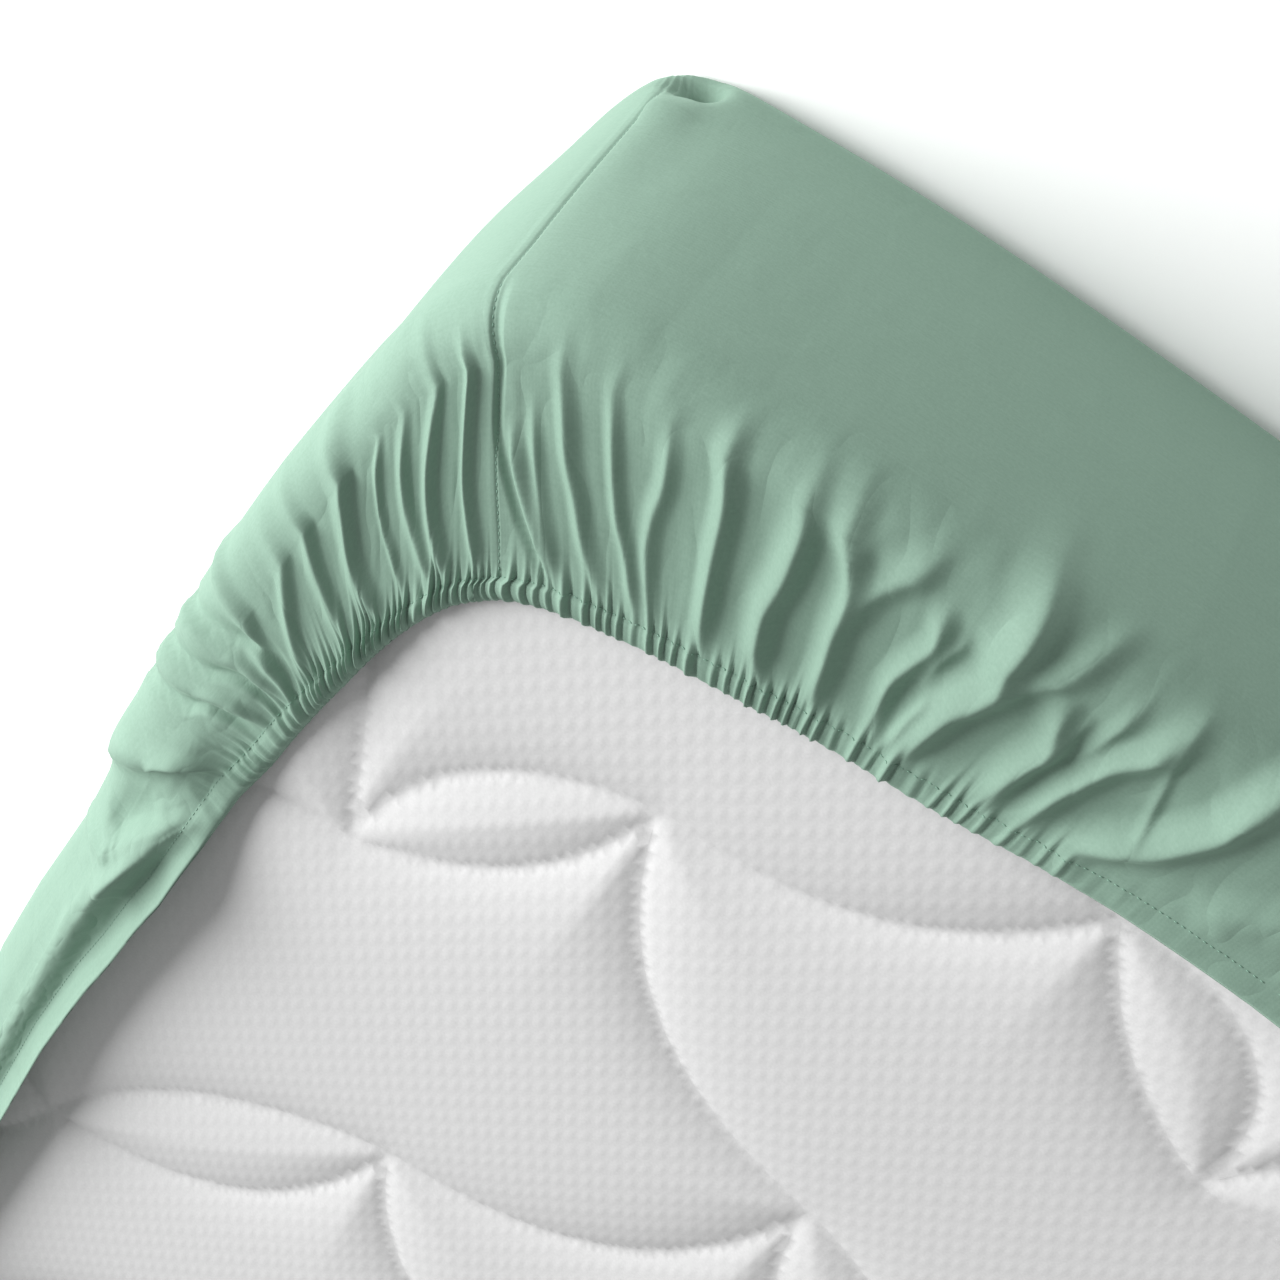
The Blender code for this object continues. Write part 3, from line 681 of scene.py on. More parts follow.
@dataclass
class Sheet:
    """The fitted sheet: one cloth from the panel, up the skirts and over to the hem."""
    skirt: Skirt = Skirt()
    shown_pitch: float = 0.0011
    shown_gathers: float = 0.0094
    other_pitch: float = 0.0048
    seam_pitch: float = 0.0007
    seam_band: float = 0.012
    elastic_margin: float = 1.22
    plain_columns_side: int = 16
    plain_columns_end: int = 5
    rows: dict = field(default_factory=lambda: {
        Part.LOWER_EDGE: 7, Part.SIDE: 12, Part.UPPER_EDGE: 7, Part.TURNED_IN: 28,
        Part.TUNNEL: 7, Part.UNDER_HEM: 2})

    def corners(self) -> list[Corner]:
        """The four corners, counter-clockwise from the one with the finest folds."""
        return [Corner(+1, -1, self.shown_pitch, lift=0.85, gathers=self.shown_gathers),
                Corner(+1, +1, self.other_pitch, 0.94, 0.8),
                Corner(-1, +1, self.other_pitch, 0.97, 1.05),
                Corner(-1, -1, self.other_pitch, 0.91, 0.95)]

    def stations(self) -> list[tuple[Part, float]]:
        """The section's rows: the stretch, and the share of the way along it."""
        rows = [(Part.PANEL, 0.0)]
        for part, count in self.rows.items():
            first = 0 if part is Part.LOWER_EDGE else 1
            power = 1.4 if part is Part.SIDE else 1.0
            rows += [(part, (i / count) ** power) for i in range(first, count + 1)]
        return rows

    def distances(self, corner: Corner) -> np.ndarray:
        """Distances along the cloth from the middle of the end to that of the long side.

        Args:
            corner: The corner that they run round.

        Returns:
            The distances, positive on the end, falling to negative on the long side.
        """
        fine = max(self.seam_pitch, corner.pitch / 3)
        halves = []
        for elastic, full, plain in (
                (self.skirt.elastic_on_end, self.skirt.bed.end_run, self.plain_columns_end),
                (self.skirt.elastic_on_side, self.skirt.bed.side_run, self.plain_columns_side)):
            reach = min(elastic * self.elastic_margin, full - 0.01)
            near = np.arange(fine, self.seam_band, fine)
            close = np.linspace(self.seam_band, reach, int((reach - self.seam_band) / corner.pitch))
            far = np.linspace(reach, full, plain + 1)[1:]
            halves.append(np.concatenate([near, close, far]))
        return np.concatenate([halves[0][::-1], [0.0], -halves[1]])

    def build(self) -> bpy.types.Object:
        """Make the cloth.

        Returns:
            The sheet's object.
        """
        columns = []
        for index, corner in enumerate(self.corners()):
            runs = self.distances(corner)
            columns.append((corner, (runs[::-1] if index % 2 else runs)[:-1]))
        stations = self.stations()
        total = sum(len(runs) for _, runs in columns)
        rows = [np.concatenate([self.skirt.section(corner, runs, part, share)
                                for corner, runs in columns]) for part, share in stations]
        points = np.stack(rows)
        mesh = bmesh.new()
        bmesh.ops.create_grid(mesh, x_segments=total, y_segments=len(rows) - 1, size=0.5,
                              calc_uvs=False)
        chart = mesh.loops.layers.uv.new("weave")
        places = self.chart(points)
        at = {}
        for vert in mesh.verts:
            column = round((vert.co.x + 0.5) * total)
            row = round((vert.co.y + 0.5) * (len(rows) - 1))
            at[vert] = (row, column)
            vert.co = points[row, column % total]
        for face in mesh.faces:
            for loop in face.loops:
                loop[chart].uv = places[at[loop.vert]]
        bmesh.ops.remove_doubles(mesh, verts=mesh.verts, dist=1e-6)
        rim = [edge for edge in mesh.edges
               if edge.is_boundary and max(vert.co.z for vert in edge.verts) < 1e-6]
        close_below(mesh, rim)
        return finish_piece("sheet_cloth", mesh, PERCALE.material())

    def chart(self, points: np.ndarray) -> np.ndarray:
        """Measure the cloth's own flat places, for the weave to follow.

        Args:
            points: The cloth's points, by row and column.

        Returns:
            A (distance round, distance up) pair for each point, in metres, with the first
            column repeated at the end.
        """
        closed = np.concatenate([points, points[:, :1]], axis=1)
        middle = closed[len(closed) // 3]
        round_it = np.linalg.norm(np.diff(middle, axis=0), axis=-1)
        across = np.concatenate([[0.0], np.cumsum(round_it)])
        up = np.linalg.norm(np.diff(closed, axis=0), axis=-1).mean(axis=1)
        along = np.concatenate([[0.0], np.cumsum(up)])
        grid = np.zeros(closed.shape[:2] + (2,))
        grid[..., 0] = across[None, :]
        grid[..., 1] = along[:, None]
        return grid


@dataclass
class Stitching:
    """The sheet's seams: fine stitches along each corner seam and along the hem's tunnel."""
    sheet: Sheet
    pitch: float = 0.0033
    length: float = 0.0022
    width: float = 0.00055
    proud: float = 0.0002
    inwards: float = 0.8            # they face away from a place this share as far out,
    under: float = -0.3             # at this height

    def build(self) -> bpy.types.Object:
        """Make all the stitches as one mesh.

        Returns:
            The stitches' object.
        """
        mesh = bmesh.new()
        skirt = self.sheet.skirt
        for corner in self.sheet.corners():
            runs = self.sheet.distances(corner)
            row = skirt.section(corner, runs, Part.TURNED_IN, 1.0)
            self.sew(mesh, row)
            seam = [skirt.section(corner, np.zeros(1), part, share)[0]
                    for part, share in self.sheet.stations()
                    if part in (Part.SIDE, Part.UPPER_EDGE, Part.TURNED_IN)]
            self.sew(mesh, np.array(seam))
        return finish_piece("stitches", mesh, THREAD.material())

    def sew(self, mesh: bmesh.types.BMesh, line: np.ndarray) -> None:
        """Lay stitches along a line of points.

        Args:
            mesh: The mesh that they are added to.
            line: The line's points.
        """
        steps = np.linalg.norm(np.diff(line, axis=0), axis=-1)
        walked = np.concatenate([[0.0], np.cumsum(steps)])
        for start in np.arange(self.pitch, walked[-1] - self.pitch, self.pitch):
            ends = [Vector([np.interp(start + offset, walked, line[:, i]) for i in range(3)])
                    for offset in (0.0, self.length)]
            along = ends[1] - ends[0]
            if along.length < 1e-5:
                continue
            centre = (ends[0] + ends[1]) / 2
            inner = Vector((centre.x * self.inwards, centre.y * self.inwards, self.under))
            away = (centre - inner).normalized()
            turn = along.normalized().to_track_quat("X", "Z").to_matrix().to_4x4()
            size = Matrix.Diagonal((along.length / 2, self.width / 2, self.width / 2, 1.0))
            bmesh.ops.create_icosphere(mesh, subdivisions=1, radius=1.0,
                                       matrix=Matrix.Translation(centre + away * self.proud)
                                       @ turn @ size)


# Crossings of the quilting that lie off the even net, by (row, column), in metres along the
# two diagonals from the near corner
CROSSINGS = {
    (-1, 0): (-0.090, 0.150), (0, 0): (-0.167, 0.344), (0, 1): (0.000, 0.322),
    (0, 2): (0.193, 0.365), (1, -1): (-0.440, 0.543), (1, 0): (-0.218, 0.545),
    (1, 1): (0.013, 0.550), (1, 2): (0.203, 0.506),
}

# Bows of the lines between them, by (row, column, down)
BULGES = {
    (-1, 0, 1): (-0.0075,), (0, -1, 0): (-0.040,), (0, 0, 0): (-0.028, 0.0235),
    (-1, 1, 1): (), (0, 1, 0): (0.031,), (0, 1, 1): (0.040,), (0, 2, 1): (0.013, -0.038),
    (1, -1, 0): (-0.025, 0.042), (1, -1, 1): (), (1, 0, 0): (0.044,), (1, 1, 0): (),
    (1, 2, 0): (-0.032, 0.050), (1, 2, 1): (),
}


@dataclass
class Ticking:
    """The mattress in its knitted cover, quilted in arcs and leaves on the underside."""
    bed: Bed = Bed()
    behind_cloth: float = 0.0060
    under_cloth: float = 0.0040
    seat: float = 0.0018
    pitch: float = 0.20
    bulge: float = 0.032
    origin: tuple[float, float] = (0.0035, 0.322)
    rows: range = range(-1, 15)
    columns: range = range(-11, 6)
    samples: int = 300
    depth: float = 0.0065
    softness: float = 0.019
    thin: float = 0.12              # a cut that leaves a thinner half than this is turned
    line_round: float = 0.0005      # the cover's rounding at a stitch line
    groove: float = 0.0004          # the stitch line itself lies this much deeper
    fine_cell: float = 0.0034
    coarse_cell: float = 0.0085
    fine_across: float = 0.56       # the fine cells reach this far in from the near corner
    fine_along: float = 0.90
    snap: float = 0.48              # share of a cell that a point may move to reach a line
    ring_power: float = 4.0

    def lines(self) -> list[Vector]:
        """Points along the quilting's stitch lines.

        Crossings lie on a square net along the two diagonals. The lines between them are
        single arcs, or leaves of two arcs, turn about.

        Returns:
            The points, at height 0.
        """
        first = Corner(+1, -1, 0.0)
        half = math.sqrt(0.5)
        share = np.arange(self.samples) / self.samples
        points = []
        for row in self.rows:
            for column in self.columns:
                start = np.array(self.crossing(row, column))
                for down in (0, 1):
                    step = np.array(self.crossing(row + down, column + 1 - down)) - start
                    away = np.array((-step[1], step[0])) / np.linalg.norm(step)
                    for bulge in self.bulges(row, column, down):
                        bow = 4 * bulge * share * (1 - share)
                        line = start + share[:, None] * step + bow[:, None] * away
                        place = np.stack([(line[:, 0] + line[:, 1]) * half,
                                          (line[:, 1] - line[:, 0]) * half], axis=-1)
                        points += [Vector(p) for p in
                                   first.world(self.bed, place, np.zeros(len(line)))]
        return points

    def crossing(self, row: int, column: int) -> tuple[float, float]:
        """A crossing's place along the two diagonals from the near corner."""
        even = (self.origin[0] + (column - 1) * self.pitch, self.origin[1] + row * self.pitch)
        return CROSSINGS.get((row, column), even)

    def bulges(self, row: int, column: int, down: int) -> tuple[float, ...]:
        """How far the lines leaving a crossing bow sideways: two for a leaf.

        Args:
            row: The crossing's row.
            column: Its column.
            down: 1 for the lines to the next row, 0 for those to the next column.

        Returns:
            A bow in metres for each line.
        """
        if (row, column, down) in BULGES:
            return BULGES[row, column, down]
        if down and column % 3 == 0 and row % 2 == 0:
            return ()
        return (self.bulge, -self.bulge) if (row + column) % 2 == 0 else (self.bulge,)

    def net(self, half: float, fine: float) -> np.ndarray:
        """Places of the grid's lines, fine near one side and coarse towards the other.

        Args:
            half: Half the width that the grid covers.
            fine: Width of the fine stretch.

        Returns:
            The places from -1 to 1, the fine ones first.
        """
        close = np.linspace(-half, -half + fine, int(fine / self.fine_cell) + 1)
        wide = np.linspace(-half + fine, half, int((2 * half - fine) / self.coarse_cell) + 1)
        return np.concatenate([close, wide[1:]]) / half

    def build(self) -> bpy.types.Object:
        """Make the mattress.

        Returns:
            The mattress's object.
        """
        inset = self.behind_cloth + self.bed.upper_radius
        across = -self.net(self.bed.half_across - inset, self.fine_across)[::-1]
        along = self.net(self.bed.half_along - inset, self.fine_along)
        mesh = bmesh.new()
        rim_place = mesh.verts.layers.int.new("rim place")
        bmesh.ops.create_grid(mesh, x_segments=len(across) - 1, y_segments=len(along) - 1, size=0.5)
        places = []
        for vert in mesh.verts:
            u = across[round((vert.co.x + 0.5) * (len(across) - 1))]
            v = along[round((vert.co.y + 0.5) * (len(along) - 1))]
            if vert.is_boundary:
                vert[rim_place] = len(places)
                places.append(self.rim_place(u, v))
            vert.co = (u, v, 0.0)
        self.spread(mesh, inset)
        self.press(mesh)
        for depth, height in self.edge_rows():
            rim = [edge for edge in mesh.edges if edge.is_boundary]
            made = bmesh.ops.extrude_edge_only(mesh, edges=rim)["geom"]
            for vert in made:
                if isinstance(vert, bmesh.types.BMVert):
                    vert.co = self.point(places[vert[rim_place]], depth, height)
        rim = [edge for edge in mesh.edges if edge.is_boundary]
        close_below(mesh, rim)
        return finish_piece("quilted_ticking", mesh, KNIT.material())

    def rim_place(self, u: float, v: float) -> tuple[Corner, float]:
        """The corner and run of a place on the rim of a square from -1 to 1."""
        corner = Corner(1 if u >= 0 else -1, 1 if v >= 0 else -1, 0.0)
        if abs(v) >= abs(u):
            return corner, self.bed.end_run * (1 - abs(u))
        return corner, -self.bed.side_run * (1 - abs(v))

    def point(self, place: tuple[Corner, float], depth: float, height: float) -> Vector:
        """A point of the mattress, a depth inwards from the cloth's outer face."""
        corner, run = place
        runs = np.array([run])
        inset = self.bed.outline(runs) + self.bed.inward(runs) * depth
        return Vector(corner.world(self.bed, inset, np.array([height]))[0])

    def spread(self, mesh: bmesh.types.BMesh, inset: float) -> None:
        """Lay the grid over the underside, square in the middle, rounded at the rim.

        Args:
            mesh: The grid, from -1 to 1 each way.
            inset: Distance of the rim from the cloth's outer face.
        """
        top = self.bed.height - self.under_cloth
        for vert in mesh.verts:
            u, v = vert.co.x, vert.co.y
            reach = max(abs(u), abs(v), 1e-6)
            square = Vector((u * (self.bed.half_across - inset),
                             v * (self.bed.half_along - inset), top))
            weight = reach ** self.ring_power
            if weight > 1e-4:
                rim = self.point(self.rim_place(u / reach, v / reach), inset, top)
                ring = Vector((rim.x * reach, rim.y * reach, top))
                square = square.lerp(ring, weight)
            vert.co = square

    def press(self, mesh: bmesh.types.BMesh) -> None:
        """Draw the nearest points onto the stitch lines, and sink the surface towards them."""
        points = self.lines()
        tree = kdtree.KDTree(len(points))
        for index, point in enumerate(points):
            tree.insert(point, index)
        tree.balance()
        near_x = self.bed.half_across - self.fine_across - self.bed.upper_radius
        near_y = -self.bed.half_along + self.fine_along + self.bed.upper_radius
        inner = [vert for vert in mesh.verts if not vert.is_boundary]
        moved_from = {}
        for vert in inner:
            nearest, _, distance = tree.find(Vector((vert.co.x, vert.co.y, 0.0)))
            fine = vert.co.x > near_x or vert.co.y < near_y
            if distance < self.snap * (self.fine_cell if fine else self.coarse_cell):
                moved_from[vert] = vert.co.xy
                vert.co.xy = nearest.xy
        self.put_back(mesh, moved_from)
        for vert in inner:
            distance = 0.0 if vert in moved_from else tree.find(
                Vector((vert.co.x, vert.co.y, 0.0)))[2]
            away = math.hypot(distance, self.line_round) - self.line_round
            vert.co.z -= self.depth * math.exp(-away / self.softness)
            vert.co.z -= self.groove if vert in moved_from else 0.0
        for face in list(mesh.faces):
            corners = list(face.verts)
            heights = [vert.co.z for vert in corners]
            first = 0 if heights[0] + heights[2] <= heights[1] + heights[3] else 1
            if self.thinnest(corners, first) < self.thin * self.thinnest(corners, 1 - first):
                first = 1 - first
            bmesh.utils.face_split(face, corners[first], corners[first + 2])

    def put_back(self, mesh: bmesh.types.BMesh, moved_from: dict) -> None:
        """Return the moved points of each face that would turn over, however it is cut.

        Args:
            mesh: The grid.
            moved_from: Each moved point's first place; those put back leave it.
        """
        turned = True
        while turned:
            turned = [vert for face in mesh.faces
                      if max(self.thinnest(list(face.verts), first) for first in (0, 1)) <= 0
                      for vert in face.verts if vert in moved_from]
            for vert in set(turned):
                vert.co.xy = moved_from.pop(vert)

    def thinnest(self, corners: list[bmesh.types.BMVert], first: int) -> float:
        """Smaller area of the halves of a four-cornered face, below 0 where one is turned over.

        Args:
            corners: The face's corners in order.
            first: The corner that the cut starts from, 0 or 1.

        Returns:
            Twice the area, seen from above.
        """
        areas = []
        for turn in (0, 2):
            a, b, c = (corners[(first + turn + step) % 4].co for step in range(3))
            areas.append((b.x - a.x) * (c.y - a.y) - (b.y - a.y) * (c.x - a.x))
        return min(areas)

    def edge_rows(self) -> list[tuple[float, float]]:
        """(depth, height) of the rows from the underside down to the sleeping face."""
        rows = []
        top = self.bed.height - self.under_cloth
        for angle in (math.pi / 6, math.pi / 3, math.pi / 2):
            rows.append((self.behind_cloth + self.bed.upper_radius * (1 - math.sin(angle)),
                         top - self.bed.upper_radius * (1 - math.cos(angle))))
        for angle in (0.0, math.pi / 4, math.pi / 2):
            rows.append((self.behind_cloth + self.bed.lower_radius * (1 - math.cos(angle)),
                         self.seat + self.bed.lower_radius * (1 - math.sin(angle))))
        return rows


def close_below(mesh: bmesh.types.BMesh, rim: list[bmesh.types.BMEdge]) -> None:
    """Close a mesh with one face on the floor, and turn its faces outwards.

    Args:
        mesh: The mesh.
        rim: The edges that the face fills.
    """
    bmesh.ops.contextual_create(mesh, geom=rim)
    bmesh.ops.recalc_face_normals(mesh, faces=mesh.faces)
    lowest = min(mesh.faces, key=lambda face: face.calc_center_median().z)
    if lowest.normal.z > 0:
        bmesh.ops.reverse_faces(mesh, faces=mesh.faces)


def finish_piece(name: str, mesh: bmesh.types.BMesh,
                 material: bpy.types.Material) -> bpy.types.Object:
    """Make a smooth-shaded object of a mesh, at the origin.

    Args:
        name: The object's name.
        mesh: Its mesh, which is freed.
        material: Its material.

    Returns:
        The object.
    """
    data = bpy.data.meshes.new(name)
    mesh.to_mesh(data)
    mesh.free()
    data.shade_smooth()
    data.materials.append(material)
    made = bpy.data.objects.new(name, data)
    bpy.context.scene.collection.objects.link(made)
    return made


def add_node(material: bpy.types.Material, kind: str, settings: dict | None = None,
             values: dict | None = None, links: dict | None = None) -> bpy.types.Node:
    """Add a node with its settings, socket values and links.

    Args:
        material: The material that it goes into.
        kind: The node's type.
        settings: Attributes of the node.
        values: Values of its input sockets, by name or number.
        links: Output sockets that its inputs are joined to, by name or number.

    Returns:
        The node.
    """
    node = material.node_tree.nodes.new(kind)
    for name, value in (settings or {}).items():
        setattr(node, name, value)
    for socket, value in (values or {}).items():
        node.inputs[socket].default_value = value
    for socket, source in (links or {}).items():
        material.node_tree.links.new(source, node.inputs[socket])
    return node


def noise(material: bpy.types.Material, vector: bpy.types.NodeSocket, scale: float, detail: float,
          output: str = "Fac", **more: float) -> bpy.types.NodeSocket:
    """Add a noise texture.

    Args:
        material: The material that it goes into.
        vector: Where it is read.
        scale: Its scale.
        detail: Its detail.
        output: The output that is wanted.
        more: Values of its other input sockets, by name.

    Returns:
        The output socket.
    """
    texture = add_node(material, "ShaderNodeTexNoise", None,
                       {"Scale": scale, "Detail": detail, **more}, {"Vector": vector})
    return texture.outputs[output]


def maths(material: bpy.types.Material, operation: str, *terms: bpy.types.NodeSocket | float,
          clamp: bool = False) -> bpy.types.NodeSocket:
    """Add one step of arithmetic.

    Args:
        material: The material that it goes into.
        operation: The math node's operation.
        terms: Its inputs in order, numbers or output sockets.
        clamp: Keep the result from 0 to 1.

    Returns:
        The result's socket.
    """
    values = {i: term for i, term in enumerate(terms) if isinstance(term, float)}
    links = {i: term for i, term in enumerate(terms) if i not in values}
    return add_node(material, "ShaderNodeMath", {"operation": operation, "use_clamp": clamp},
                    values, links).outputs[0]


def bump(material: bpy.types.Material, height: bpy.types.NodeSocket, strength: float,
         depth: float, under: bpy.types.NodeSocket | None = None) -> bpy.types.NodeSocket:
    """Add fine relief.

    Args:
        material: The material that it goes into.
        height: The relief's height, from 0 to 1.
        strength: Its strength.
        depth: Its depth in mm.
        under: The relief that it lies on, if any.

    Returns:
        The normal's socket.
    """
    links = {"Height": height} | ({"Normal": under} if under else {})
    return add_node(material, "ShaderNodeBump", None,
                    {"Strength": strength, "Distance": depth * MM}, links).outputs[0]


def stretched(material: bpy.types.Material, vector: bpy.types.NodeSocket, size: float,
              share: float) -> bpy.types.NodeSocket:
    """Scale places so that a texture's cells have a size.

    Args:
        material: The material that it goes into.
        vector: The places.
        size: The cells' size along X, in mm.
        share: How many times finer they are along Y.

    Returns:
        The scaled places.
    """
    scale = (1 / (size * MM), share / (size * MM), 1.0)
    return add_node(material, "ShaderNodeMapping", None, {"Scale": scale},
                    {"Vector": vector}).outputs[0]


def colour_between(material: bpy.types.Material, shader: bpy.types.Node, dark: str, light: str,
                   share: bpy.types.NodeSocket) -> None:
    """Colour a shader between two colours.

    Args:
        material: The shader's material.
        shader: The shader.
        dark: The colour where the share is 0.
        light: The colour where it is 1.
        share: The share.
    """
    tone = add_node(material, "ShaderNodeMix", {"data_type": "RGBA"},
                    {6: linear(dark), 7: linear(light)}, {0: share})
    material.node_tree.links.new(tone.outputs[2], shader.inputs["Base Color"])


def blank(name: str) -> tuple[bpy.types.Material, bpy.types.Node]:
    """Make a material.

    Args:
        name: Its name.

    Returns:
        The material and its Principled shader.
    """
    material = bpy.data.materials.new(name)
    material.use_nodes = True
    return material, material.node_tree.nodes["Principled BSDF"]


@dataclass(frozen=True)
class Percale:
    """Cotton percale, plain-woven and piece-dyed: matt, even, with a faint fuzz at the edges."""
    colour: str = "#87A393"
    shade: str = "#7B9787"
    fuzz: str = "#BFE0CC"
    roughness: float = 0.78
    thread: float = 1.1         # mm; threads of 0.3 mm are drawn this coarse so that they show
    weave_depth: float = 0.05   # mm
    slub: float = 26.0          # mm, length of the thicker stretches of thread
    slub_width: float = 1.6     # mm
    slub_depth: float = 0.12    # mm
    crumple: float = 20.0       # mm, width of the soft creases left from folding
    crumple_depth: float = 1.6  # mm
    grain: float = 1.6          # mm, of the yarn's unevenness; drawn coarse so that it shows
    pucker: float = 21.0        # mm, between the sharper creases where the cloth is drawn up
    pucker_depth: float = 4.0   # mm
    drawn_up_from: float = 0.230    # metres up the cloth from the panel
    drawn_up_to: float = 0.300

    def material(self) -> bpy.types.Material:
        """Dress the cloth by its own flat places.

        Returns:
            The material.
        """
        material, shader = blank("Cotton percale, woven")
        flat = add_node(material, "ShaderNodeUVMap", {"uv_map": "weave"}).outputs["UV"]
        threads = []
        for axis in ("X", "Y"):
            wave = add_node(material, "ShaderNodeTexWave",
                            {"wave_type": "BANDS", "bands_direction": axis},
                            {"Scale": 0.2 / (self.thread * MM),
                             "Distortion": 0.6, "Detail": 1.0, "Detail Scale": 1.5},
                            {"Vector": flat})
            threads.append(wave.outputs["Fac"])
        weave = maths(material, "MULTIPLY", *threads)
        long_way = stretched(material, flat, self.slub, self.slub / self.slub_width)
        slubs = noise(material, long_way, 1.0, 2.0, Roughness=0.6)
        crumple = noise(material, stretched(material, flat, self.crumple, 0.8), 1.0, 2.0,
                        Roughness=0.45, Distortion=0.6)
        grain = noise(material, flat, 1 / (self.grain * MM), 3.0, Roughness=0.7)
        mottle = maths(material, "MULTIPLY_ADD", grain, 1.6, -0.55)
        mixed = maths(material, "MULTIPLY_ADD", slubs, 0.5, mottle, clamp=True)
        colour_between(material, shader, self.shade, self.colour, mixed)
        fine = bump(material, weave, 0.35, self.weave_depth)
        slubbed = bump(material, slubs, 0.25, self.slub_depth, fine)
        soft = bump(material, crumple, 0.3, self.crumple_depth, slubbed)
        height_up = add_node(material, "ShaderNodeSeparateXYZ", None, None,
                             {0: flat}).outputs["Y"]
        drawn_up = add_node(material, "ShaderNodeMapRange", {"interpolation_type": "SMOOTHSTEP"},
                            {"From Min": self.drawn_up_from, "From Max": self.drawn_up_to},
                            {"Value": height_up}).outputs[0]
        rough = noise(material, stretched(material, flat, self.pucker, 0.5), 1.0, 1.0,
                      Roughness=0.5, Distortion=0.25)
        ridged = maths(material, "ABSOLUTE", maths(material, "SUBTRACT", rough, 0.5))
        puckers = maths(material, "MULTIPLY", ridged, drawn_up)
        puckered = bump(material, puckers, 0.7, self.pucker_depth, soft)
        material.node_tree.links.new(puckered, shader.inputs["Normal"])
        for socket, value in (("Roughness", self.roughness), ("Specular IOR Level", 0.25),
                              ("Sheen Weight", 0.30), ("Sheen Roughness", 0.45),
                              ("Sheen Tint", linear(self.fuzz))):
            shader.inputs[socket].default_value = value
        return material


@dataclass(frozen=True)
class Thread:
    """Spun polyester sewing thread in the cloth's colour, a little lighter."""
    colour: str = "#93B6A4"
    shade: str = "#6F9281"
    roughness: float = 0.6

    def material(self) -> bpy.types.Material:
        """Dress the stitches.

        Returns:
            The material.
        """
        material, shader = blank("Polyester sewing thread, spun")
        where = add_node(material, "ShaderNodeTexCoord").outputs["Object"]
        twist = noise(material, where, 2500.0, 1.0)
        colour_between(material, shader, self.shade, self.colour, twist)
        shader.inputs["Roughness"].default_value = self.roughness
        return material


@dataclass(frozen=True)
class Knit:
    """Knitted polyester ticking, off-white: small raised dots in slanting rows."""
    colour: str = "#D9D9D9"
    valley: str = "#CBCBCB"
    roughness: float = 0.88
    step_one: tuple[float, float] = (-5.3, -6.4)    # mm from dot to dot, in X and Y
    step_two: tuple[float, float] = (-5.1, 9.5)
    dot_height: float = 0.9                         # mm
    fuzz_depth: float = 0.25                        # mm

    def material(self) -> bpy.types.Material:
        """Dress the mattress.

        Returns:
            The material.
        """
        material, shader = blank("Polyester ticking, knitted")
        where = add_node(material, "ShaderNodeTexCoord").outputs["Object"]
        wobble = noise(material, where, 60.0, 1.0, "Color")
        drift = add_node(material, "ShaderNodeVectorMath", {"operation": "MULTIPLY_ADD"},
                         {1: (0.0022, 0.0022, 0.0)}, {0: wobble, 2: where}).outputs[0]
        (ax, ay), (bx, by) = self.step_one, self.step_two
        area = ax * by - ay * bx
        across = (by / area / MM, -bx / area / MM, 0.0)
        along = (-ay / area / MM, ax / area / MM, 0.0)
        waves = []
        for direction in (across, along):
            turns = add_node(material, "ShaderNodeVectorMath", {"operation": "DOT_PRODUCT"},
                             {1: direction}, {0: drift}).outputs["Value"]
            wave = maths(material, "COSINE", maths(material, "MULTIPLY", turns, 2 * math.pi))
            waves.append(maths(material, "MULTIPLY_ADD", wave, 0.5, 0.5))
        dots = maths(material, "MULTIPLY", *waves)
        fuzz = noise(material, where, 700.0, 2.0, Roughness=0.6)
        colour_between(material, shader, self.valley, self.colour, fuzz)
        raised = bump(material, dots, 0.14, self.dot_height)
        fuzzy = bump(material, fuzz, 0.2, self.fuzz_depth, raised)
        material.node_tree.links.new(fuzzy, shader.inputs["Normal"])
        shader.inputs["Roughness"].default_value = self.roughness
        shader.inputs["Specular IOR Level"].default_value = 0.2
        return material


PERCALE = Percale()
THREAD = Thread()
KNIT = Knit()


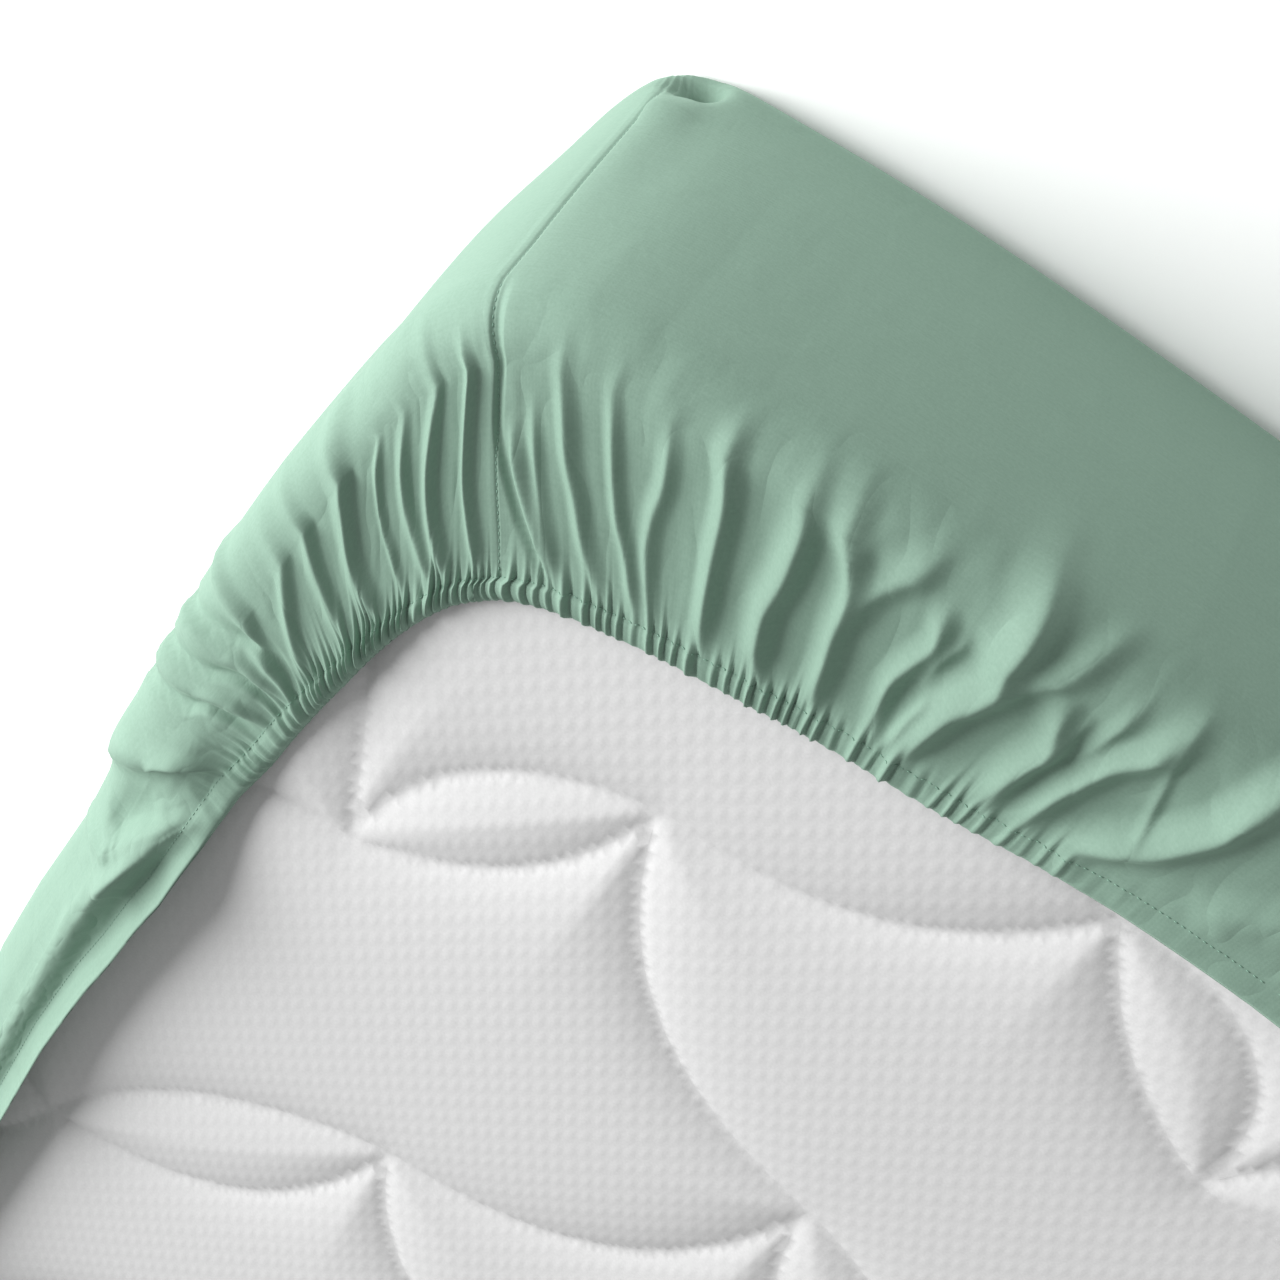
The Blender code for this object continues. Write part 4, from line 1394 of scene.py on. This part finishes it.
@dataclass
class Studio:
    """A pale floor, soft studio light, and the camera over the near corner."""
    lens: float = 70.31
    sensor: float = 36.0
    place: tuple[float, float, float] = (0.2719, -1.5275, 0.9303)
    right: tuple[float, float, float] = (-0.8018, -0.4410, -0.4033)
    back: tuple[float, float, float] = (-0.0006, -0.6743, 0.7385)
    aim: tuple[float, float, float] = (0.36, -0.88, 0.18)   # what the key light points at
    key_turn: float = -5.0      # degrees from +X towards -Y
    key_rise: float = 28.0      # degrees over the floor
    key_power: float = 178.0
    key_size: float = 2.4
    key_distance: float = 3.0
    sky: float = 0.39
    floor_colour: str = "#FAFAFA"
    floor_glow: float = 0.08    # keeps the floor near white beside the bed
    floor_size: float = 40.0

    def axes(self) -> tuple[Vector, Vector, Vector]:
        """The camera's right, up and back directions."""
        back = Vector(self.back).normalized()
        right = Vector(self.right)
        right = (right - right.dot(back) * back).normalized()
        return right, back.cross(right), back

    def camera(self) -> None:
        """Set up the camera over the corner that shows."""
        data = bpy.data.cameras.new("camera")
        data.lens = self.lens
        data.sensor_width = self.sensor
        camera = bpy.data.objects.new("camera", data)
        bpy.context.scene.collection.objects.link(camera)
        pose = Matrix(self.axes()).transposed().to_4x4()
        pose.translation = Vector(self.place)
        camera.matrix_world = pose
        bpy.context.scene.camera = camera

    def lights(self) -> None:
        """Set up one large soft key light and an even white surround."""
        turn, rise = math.radians(self.key_turn), math.radians(self.key_rise)
        way = Vector((math.cos(turn) * math.cos(rise), -math.sin(turn) * math.cos(rise),
                      math.sin(rise)))
        data = bpy.data.lights.new("key", "AREA")
        data.size = self.key_size
        data.energy = self.key_power
        key = bpy.data.objects.new("key", data)
        key.location = Vector(self.aim) + way * self.key_distance
        key.rotation_euler = way.to_track_quat("Z", "Y").to_euler()
        bpy.context.scene.collection.objects.link(key)
        world = bpy.data.worlds.new("surround")
        world.use_nodes = True
        world.node_tree.nodes["Background"].inputs["Color"].default_value = (1, 1, 1, 1)
        world.node_tree.nodes["Background"].inputs["Strength"].default_value = self.sky
        bpy.context.scene.world = world
        bpy.context.scene.view_settings.view_transform = "Standard"

    def floor(self) -> None:
        """Lay the pale floor."""
        mesh = bmesh.new()
        bmesh.ops.create_grid(mesh, x_segments=1, y_segments=1, size=self.floor_size / 2)
        material, shader = blank("Painted studio floor, matt")
        shader.inputs["Base Color"].default_value = linear(self.floor_colour)
        shader.inputs["Roughness"].default_value = 0.95
        shader.inputs["Emission Color"].default_value = (1.0, 1.0, 1.0, 1.0)
        shader.inputs["Emission Strength"].default_value = self.floor_glow
        finish_piece("floor", mesh, material)


def main() -> None:
    """Build the pieces, dress them, and say what they ride on and replace."""
    logging.basicConfig(level=logging.INFO, format="%(name)s: %(message)s")
    studio = Studio()
    studio.camera()
    studio.lights()
    studio.floor()

    sheet = Sheet()
    cloth = sheet.build()
    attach(cloth, "root")
    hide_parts("fitted_sheet")
    LOG.info("sheet cloth: %d faces", len(cloth.data.polygons))

    stitches = Stitching(sheet).build()
    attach(stitches, "root")
    LOG.info("stitches: %d faces", len(stitches.data.polygons))

    mattress = Ticking().build()
    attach(mattress, "root")
    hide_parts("mattress")
    LOG.info("mattress: %d faces", len(mattress.data.polygons))


if __name__ == "__main__":
    main()
